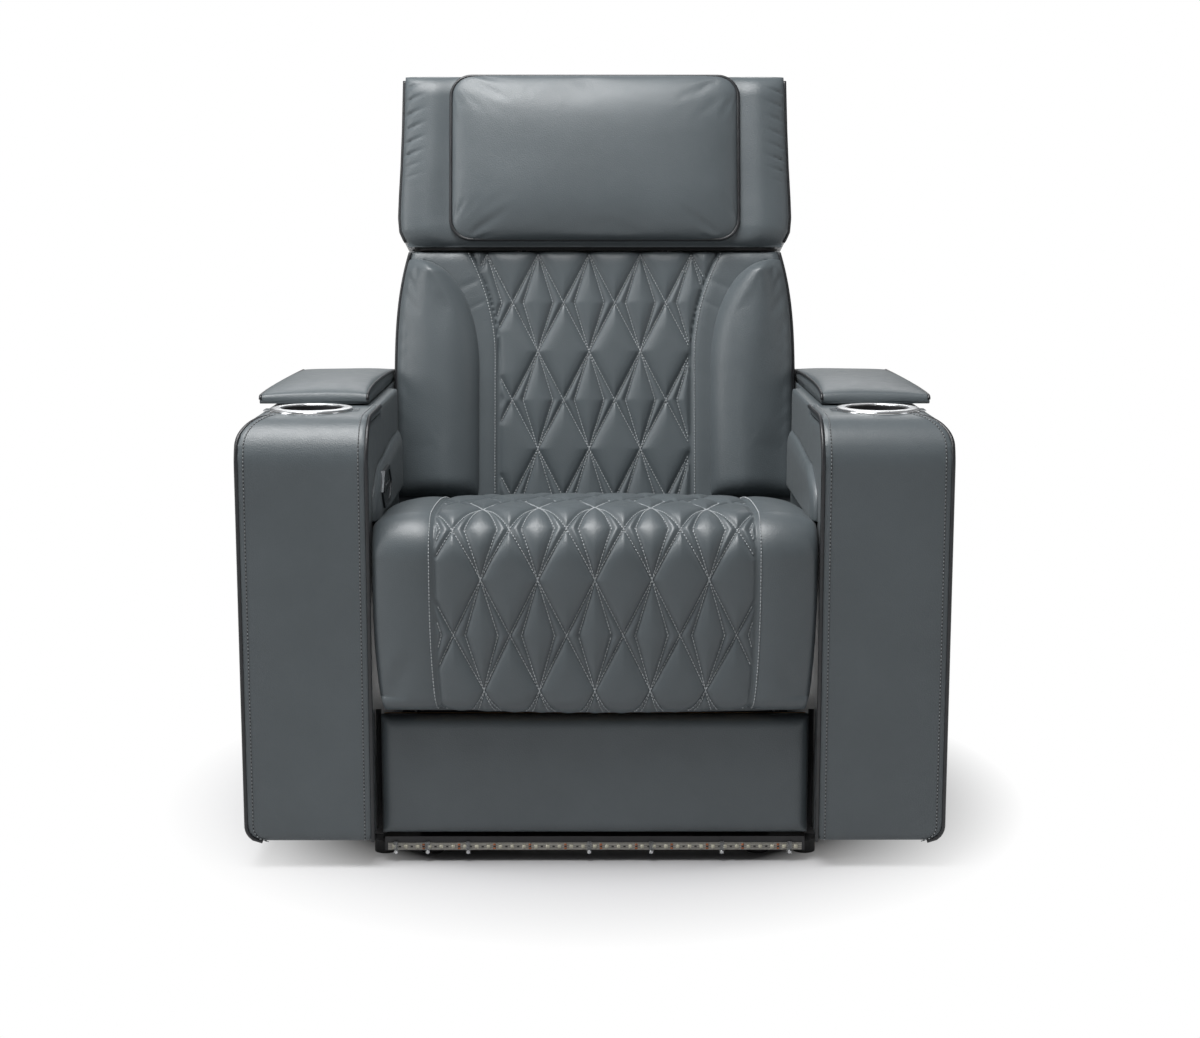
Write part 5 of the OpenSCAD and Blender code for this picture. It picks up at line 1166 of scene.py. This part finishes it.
class RECLINER_OT_lids(bpy.types.Operator):
    """Crowned lids with their gussets, piping and corner stitching"""
    bl_idname = "recliner.lids"
    bl_label = "Lids"

    def execute(self, context):
        own = context.scene.recliner_leather
        d = np.concatenate([LID_NOSE_D[:4], [LID_NOSE_D[3] + 0.1, LID_NOSE_D[4], 216], spread(221, LID_D + LID_LEN, 5)])
        c = np.linspace(0, 1, 44)
        rows, cols = len(d), len(c)
        x = np.broadcast_to((LID_IN + (LID_OUT - LID_IN) * c)[None, :], (rows, cols))
        grid_d = np.broadcast_to(d[:, None], x.shape)
        from_x = np.minimum(x - LID_IN, LID_OUT - x)
        front = roll((grid_d - LID_D) / LID_FRONT_LEN)
        fall = 1 - 0.9 * (np.clip(grid_d - LID_BEND_D, 0, None) / (LID_D + LID_LEN - LID_BEND_D)) ** 2
        step_z = np.interp(d, LID_NOSE_D, LID_NOSE_Z)
        edge_z = [step_z + rise * (fall * front)[:, 0] for rise in (LID_RISE_IN, LID_RISE_OUT)]
        crown = edge_z[0][:, None] * (1 - c) + edge_z[1][:, None] * c \
            + (0.6 + LID_CROWN * fall * front) * roll(from_x / LID_ROLL_W) \
            + 0.5 * ripple(x, grid_d, 21, 160) * roll(from_x / 30) * front
        deep = d > LID_NOSE_D[3] + 0.05
        low_z = np.where(deep, LID_TRAY_Z, LID_FOOT_Z)
        in_x = np.where(deep, 1.7, 0.6)
        for side in (-1, 1):
            name, body = side_name(side), f"lid_{side_name(side)}"
            walls = []
            for edge, turn, top in ((LID_OUT, -1, edge_z[1]), (LID_IN, 1, edge_z[0])):
                walls.append([in_row(edge - turn * 0.5, d, 0.5 * top + 0.5 * LID_FOOT_Z), in_row(edge, d, LID_FOOT_Z),
                              in_row(edge + turn * in_x, d, LID_FOOT_Z), in_row(edge + turn * in_x, d, low_z)])
            parts = shut(in_row(x, grid_d, crown), *walls)
            piece = add_piece(f"lid_pad_{name}_cover", on_side(parts, side), body, node=f"lid_pad_{name}")
            swell(piece, held(parts, rows, cols, 7, 2), 0.004, 2.5)
            line = d[1:-1]
            bars = joined([tube(in_row(edge, line, top[1:-1] - 0.8), own.piping_r * 0.8, UPWARD)
                           for edge, top in ((LID_IN + 0.5, edge_z[0]), (LID_OUT - 0.5, edge_z[1]))])
            add_piece(f"lid_piping_{name}", on_side(bars, side), body, "piping")
            corner = in_row(LID_IN + 0.4, LID_NOSE_D[0], np.linspace(LID_FOOT_Z + 2, 630, 6))
            sewn = stitches(corner, np.array([-0.7, -0.7, 0]), 0.0024, 0.0014, 0.0042, 0.0007)
            add_piece(f"lid_corner_stitching_{name}", on_side(sewn, side), body, "piping", smooth=False)
        return {"FINISHED"}


# ---- footrest, covers and piping of the back

class RECLINER_OT_footrest(bpy.types.Operator):
    """Plain padded panel of the footrest"""
    bl_idname = "recliner.footrest"
    bl_label = "Footrest pad"

    def execute(self, context):
        low, high = [np.array(c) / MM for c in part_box("leg_pad")]
        w, z0, z1 = high[0], low[2], high[2]
        front = (low[1] * MM - FRONT_Y) / MM
        rear = (high[1] * MM - FRONT_Y) / MM
        x, z = np.meshgrid(spread(-w, w, 5), spread(z1, z0, 4))
        edge = np.minimum(np.minimum(z - z0, z1 - z) / 16, (w - np.abs(x)) / 18)
        d = front + 11 * (1 - roll(edge)) - 0.9 * ripple(x, z, 31, 170) * roll(edge) + 1.0
        rows = z[:, 0]
        parts = pad(in_row(x, d, z), in_row(-w, rear, rows), in_row(w, rear, rows))
        piece = add_piece("footrest_pad_cover", parts, "legrest", node="leg_pad")
        return {"FINISHED"}


def bowed(points):
    """The head section's shell brought to the bow of its edge: x grows with the edge's share of the straight half
    width, at each point's place along the back."""
    v = (points[:, 1] / MM - FRONT_Y / MM - BACK_D) * math.sin(LEAN) + (points[:, 2] / MM - BACK_Z) * math.cos(LEAN)
    return points * np.stack([head_edge(v) / HEAD_HALF_W, np.ones_like(v), np.ones_like(v)], -1)


class RECLINER_OT_covers(bpy.types.Operator):
    """Rear covers of the back and the head section, with piping along their front edges"""
    bl_idname = "recliner.covers"
    bl_label = "Rear covers"

    def execute(self, context):
        own = context.scene.recliner_leather
        soft_copy("back_cover", "back_cover_leather")
        soft_copy("head_shell", "head_shell_leather", bowed)
        for body, edge, inset, t, v in (
                ("back", back_w, 2.2, COVER_T - 1.5, spread(BACK_FOOT_V + 10, BACK_TOP_V - 2, 4)),
                ("head", head_edge, 2.0, COVER_T - 2.4, spread(HEAD_FOOT_V + 3, HEAD_TOP_V - 3, 4))):
            bars = [tube(in_back(side * (edge(v) - inset), t, v), own.piping_r, ACROSS) for side in (-1, 1)]
            add_piece(f"{body}_piping", joined(bars), body, "piping")
        return {"FINISHED"}


GUSSET_FOOT_V, GUSSET_TOP_V, GUSSET_R, GUSSET_WALL = 366.0, 376.2, 20.0, 1.4
GUSSET_HALF_W, GUSSET_HALF_T, GUSSET_MID_T = 269.0, 73.0, 95.0


class RECLINER_OT_gusset(bpy.types.Operator):
    """Dark cloth that closes the gap between the back and the head section"""
    bl_idname = "recliner.gusset"
    bl_label = "Gusset"

    def execute(self, context):
        v = np.linspace(GUSSET_FOOT_V, GUSSET_TOP_V, 5)
        rings = []
        for r, levels in ((GUSSET_R, v), (GUSSET_R - GUSSET_WALL, v[::-1])):
            path = rounded_path(GUSSET_HALF_W, GUSSET_HALF_T, r, 10.0)
            rings += [in_back(path[:, 0], GUSSET_MID_T + path[:, 1], level) for level in levels]
        piece = add_piece("head_gusset", hoop(np.stack(rings, 1)), None, "dark_cloth")
        tuple(in_back(0, HEAD_HINGE_T, GUSSET_FOOT_V))
        tuple(in_back(0, HEAD_HINGE_T, GUSSET_TOP_V))
        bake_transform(piece)
        return {"FINISHED"}


# ---- fittings

def boxes(places, half):
    """Equal small blocks at the given middles, each with half sizes half."""
    corners = places[:, None] + np.array(list(product((-1, 1), repeat=3))) * half
    return blocks(corners, [[0, 1, 3, 2], [4, 6, 7, 5], [0, 4, 5, 1], [2, 3, 7, 6], [0, 2, 6, 4], [1, 5, 7, 3]])


def turned(radii, heights, x, d, steps=72):
    """A ring whose section is given by radii and heights, turned about the upright line at x and depth d."""
    a = np.arange(steps) / steps * 2 * np.pi
    radii, heights = np.asarray(radii)[None], np.asarray(heights)[None]
    return hoop(in_row(x + radii * np.cos(a)[:, None], d + radii * np.sin(a)[:, None], heights + 0 * a[:, None]))


RIM_R = (43.4, 43.2, 44.2, 47.0, 51.0, 55.0, 57.4, 57.5, 50.0)
RIM_Z = (623.1, 624.1, 624.7, 625.0, 624.9, 624.4, 623.6, 623.1, 623.1)


class RECLINER_OT_trims(bpy.types.Operator):
    """Rounded bright rims on the cup holders"""
    bl_idname = "recliner.trims"
    bl_label = "Cup rims"

    def execute(self, context):
        for side in (-1, 1):
            rim = turned(RIM_R, RIM_Z, side * CUP_X, CUP_D)
            add_piece(f"cup_rim_{side_name(side)}", rim, "base", "bright_steel")
        return {"FINISHED"}


LINING_HALF_W = 242.0
LINING_SECTION = ((47.4, 226), (47.4, 221), (60, 213.6), (79, 211.5), (79.6, 186),
                  (81, 186), (80.4, 212.8), (60.4, 214.9), (48.6, 222), (48.6, 226))
TAB_FRONT_D, TAB_REAR_D = 58.0, 64.0
TAB_EDGE = ((292.5, 26, 36), (297, 25, 35.2), (303, 26.5, 35), (309, 29.5, 35.2), (315, 33.5, 34.6))
# Painted shade: thin near-black strips that fill the gaps beside the footrest, where there is only shade between the
# panel and the arms
GAP_X, GAP_D, GAP_Z, GAP_HALF = 299.2, 67.5, 127.0, (3.9, 0.6, 85.5)


class RECLINER_OT_lining(bpy.types.Operator):
    """Dark cloth behind the footrest's top, the dust cover's corners under the arms, and near-black strips of painted
    shade in the gaps beside the footrest
    """
    bl_idname = "recliner.lining"
    bl_label = "Lining"

    def execute(self, context):
        loops = in_row(spread(-LINING_HALF_W, LINING_HALF_W, 40)[:, None], *np.array(LINING_SECTION).T[:, None])
        edge, low, high = np.array(TAB_EDGE).T
        sides = ((TAB_FRONT_D, low), (TAB_FRONT_D, high), (TAB_REAR_D, high), (TAB_REAR_D, low))
        tab = lofted(np.stack([in_row(edge, d, z) for d, z in sides], 1))
        # near-black strips of painted shade in the gaps beside the footrest
        strips = boxes(in_row([-GAP_X, GAP_X], GAP_D, GAP_Z), np.array(GAP_HALF) * MM)
        for name, parts in (("front_lining", lofted(loops)),
                            ("dust_cover_corners", joined([on_side(tab, side) for side in (-1, 1)])),
                            ("footrest_gap_strips", strips)):
            add_piece(name, parts, "base", "dark_cloth", smooth=False)
        return {"FINISHED"}


CLIP_X = (-276, -232, -176, -8, 78, 176, 270)


class RECLINER_OT_lights(bpy.types.Operator):
    """Small lights, their solder pads and the clips' screws along the strip"""
    bl_idname = "recliner.lights"
    bl_label = "Light strip"

    def execute(self, context):
        low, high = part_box("light_strip")
        count = context.scene.recliner_stage.lights
        step = (high[0] - low[0]) / count
        x = low[0] + step * (np.arange(count) + 0.5)
        mid = (low[2] + high[2]) / 2
        face = low[1]

        def row(x, out, up=0.0):
            """Points at the given x, out in front of the strip's face and up from its middle."""
            return np.stack(np.broadcast_arrays(x, face - out, mid + up), -1)

        add_piece("small_lights", boxes(row(x, 0.0007), (0.0025, 0.0008, 0.0025)), "base", "light_lens",
                  smooth=False)
        cuts = low[0] + step * 3 * np.arange(1, count // 3 + 1)
        pads = np.concatenate([row(cuts, 0.0001, up) for up in (-0.0028, 0, 0.0028)])
        add_piece("solder_pads", boxes(pads, (0.0018, 0.0003, 0.0009)), "base", "copper", smooth=False)
        chips = boxes(row(x[:-1] + step / 2, 0.0003), (0.0016, 0.0005, 0.0008))
        add_piece("small_resistors", chips, "base", "black_plastic", smooth=False)
        q = np.array([0, 0.35, 0.7, 0.95, 1.0])[:, None]
        r = np.array([0.0026, 0.0026, 0.0022, 0.0013, 0.0003])[:, None]
        a = np.arange(12) / 12 * 2 * np.pi
        screws = [lofted(row(cx * MM + r * np.cos(a), 0.0021 + 0.0013 * q, r * np.sin(a) - 0.0075)) for cx in CLIP_X]
        add_piece("clip_screws", joined(screws), "base", "zinc_steel")
        return {"FINISHED"}


FINISH_OF = {"cup_left": "cup_steel", "cup_right": "cup_steel", "control_bezel": "satin_steel",
             **{f"button_{k}": "satin_steel" for k in range(1, 5)}}


class RECLINER_OT_carried(bpy.types.Operator):
    """Materials of the frame's own pieces, by the slot each one has"""
    bl_idname = "recliner.carried"
    bl_label = "Frame pieces"

    def execute(self, context):
        for node, piece in frame["nodes"].items():
            piece.data.materials.clear()
            piece.data.materials.append(finish(FINISH_OF.get(node, SLOT_OF[node])))
        return {"FINISHED"}


# ---- stage

def area_light(name, place, aim, size, power):
    """A rectangular light at a place, turned toward the aim with its sides level."""
    data = bpy.data.lights.new(name, "AREA")
    data.shape = "RECTANGLE"
    data.size, data.size_y = size
    data.energy = power
    light = bpy.data.objects.new(name, data)
    bpy.context.scene.collection.objects.link(light)
    back = unit(np.array(place, float) - np.array(aim, float))
    right = unit(np.cross(UPWARD, back))
    turn = np.eye(4)
    turn[:3] = np.stack([right, np.cross(back, right), back, place], -1)
    light.matrix_world = Matrix(turn)


class RECLINER_OT_stage(bpy.types.Operator):
    """Pale floor, soft studio lights and the camera"""
    bl_idname = "recliner.stage"
    bl_label = "Stage"

    def execute(self, context):
        own = context.scene.recliner_stage
        scene = context.scene
        scene.view_settings.view_transform = "Standard"
        world = bpy.data.worlds.new("studio")
        scene.world = world
        world.use_nodes = True
        nodes = world.node_tree.nodes
        plain, white = nodes["Background"], nodes.new("ShaderNodeBackground")
        for sky, strength in ((plain, 0.17), (white, 1.0)):
            sky.inputs["Color"].default_value = (1, 1, 1, 1)
            sky.inputs["Strength"].default_value = strength
        mixed(world.node_tree, seen(world.node_tree, "Is Transmission Ray"), plain, white, nodes["World Output"])
        points = np.array([[-30, -30, 0], [30, -30, 0], [30, 30, 0], [-30, 30, 0]], float)
        mesh = mesh_of("floor", points, np.array([[0, 1, 2, 3]]))
        # Partly painted shadow: near the seat the floor is a darker grey lit surface that keeps its real shadows, and
        # with distance it fades into glowing white for camera and glossy rays, so the grey round the seat is partly a
        # painted shadow halo
        f = Finish("pale_floor")
        f.set(Specular_IOR_Level=0.15, Base_Color=(0.50, 0.50, 0.51, 1))
        f.feed(Roughness=f.span(f.noise(3, 2), 0.55, 0.65))
        far = f.span(f.vector("LENGTH", f.stretched(1.06, 1, 1)), 0.0, 1.0, 0.43, 0.70)
        share = f.maths("MULTIPLY", seen(f.material.node_tree, "Is Glossy Ray"), far)
        mixed(f.material.node_tree, share, f.shader, f.nodes.new("ShaderNodeEmission"), f.nodes["Material Output"])
        mesh.materials.append(f.material)
        floor = bpy.data.objects.new("floor", mesh)
        scene.collection.objects.link(floor)
        area_light("top_soft", (-0.6, -0.8, 3.0), (0, -0.05, 0.5), (1.8, 1.4), 122)
        area_light("left_soft", (-2.8, -1.0, 1.7), (0, 0, 0.6), (1.0, 1.8), 28)
        area_light("right_soft", (2.8, -1.0, 1.3), (0, 0, 0.6), (0.9, 1.8), 6)
        area_light("rear_soft", (0.0, 2.6, 2.2), (0, 0, 0.7), (2.4, 1.4), 20)
        camera = bpy.data.cameras.new("camera")
        camera.lens = own.lens
        camera.sensor_width = 36
        eye = bpy.data.objects.new("camera", camera)
        scene.collection.objects.link(eye)
        eye.location = (0, own.camera_y, own.camera_z)
        eye.rotation_euler = (math.pi / 2 - own.pitch, 0, -own.yaw)
        scene.camera = eye
        return {"FINISHED"}


class RECLINER_PT_panel(bpy.types.Panel):
    """Buttons and sizes of the recliner seat"""
    bl_idname = "RECLINER_PT_panel"
    bl_label = "Recliner seat"
    bl_space_type = "VIEW_3D"
    bl_region_type = "UI"
    bl_category = "Recliner"

    def draw(self, context):
        layout = self.layout
        for group in ("recliner_leather", "recliner_quilt", "recliner_stage"):
            settings = getattr(context.scene, group)
            box = layout.box()
            for name in settings.__annotations__:
                box.prop(settings, name)
        for piece in PIECES:
            layout.operator(piece.bl_idname)


GROUPS = {"recliner_leather": LeatherSettings, "recliner_quilt": QuiltSettings, "recliner_stage": StageSettings}
PIECES = (RECLINER_OT_stage, RECLINER_OT_carried, RECLINER_OT_seat, RECLINER_OT_back, RECLINER_OT_bolsters,
          RECLINER_OT_head, RECLINER_OT_pillow, RECLINER_OT_arms, RECLINER_OT_arm_pads, RECLINER_OT_lids,
          RECLINER_OT_footrest, RECLINER_OT_covers, RECLINER_OT_gusset, RECLINER_OT_trims, RECLINER_OT_lining,
          RECLINER_OT_lights)


def register():
    for group in GROUPS.values():
        bpy.utils.register_class(group)
    for name, group in GROUPS.items():
        setattr(bpy.types.Scene, name, PointerProperty(type=group))
    for piece in PIECES + (RECLINER_PT_panel,):
        bpy.utils.register_class(piece)


def unregister():
    for piece in reversed(PIECES + (RECLINER_PT_panel,)):
        bpy.utils.unregister_class(piece)
    for name, group in GROUPS.items():
        delattr(bpy.types.Scene, name)
        bpy.utils.unregister_class(group)


def main():
    """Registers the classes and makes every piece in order."""
    register()
    for piece in PIECES:
        group, name = piece.bl_idname.split(".")
        getattr(getattr(bpy.ops, group), name)()


if __name__ == "__main__":
    main()
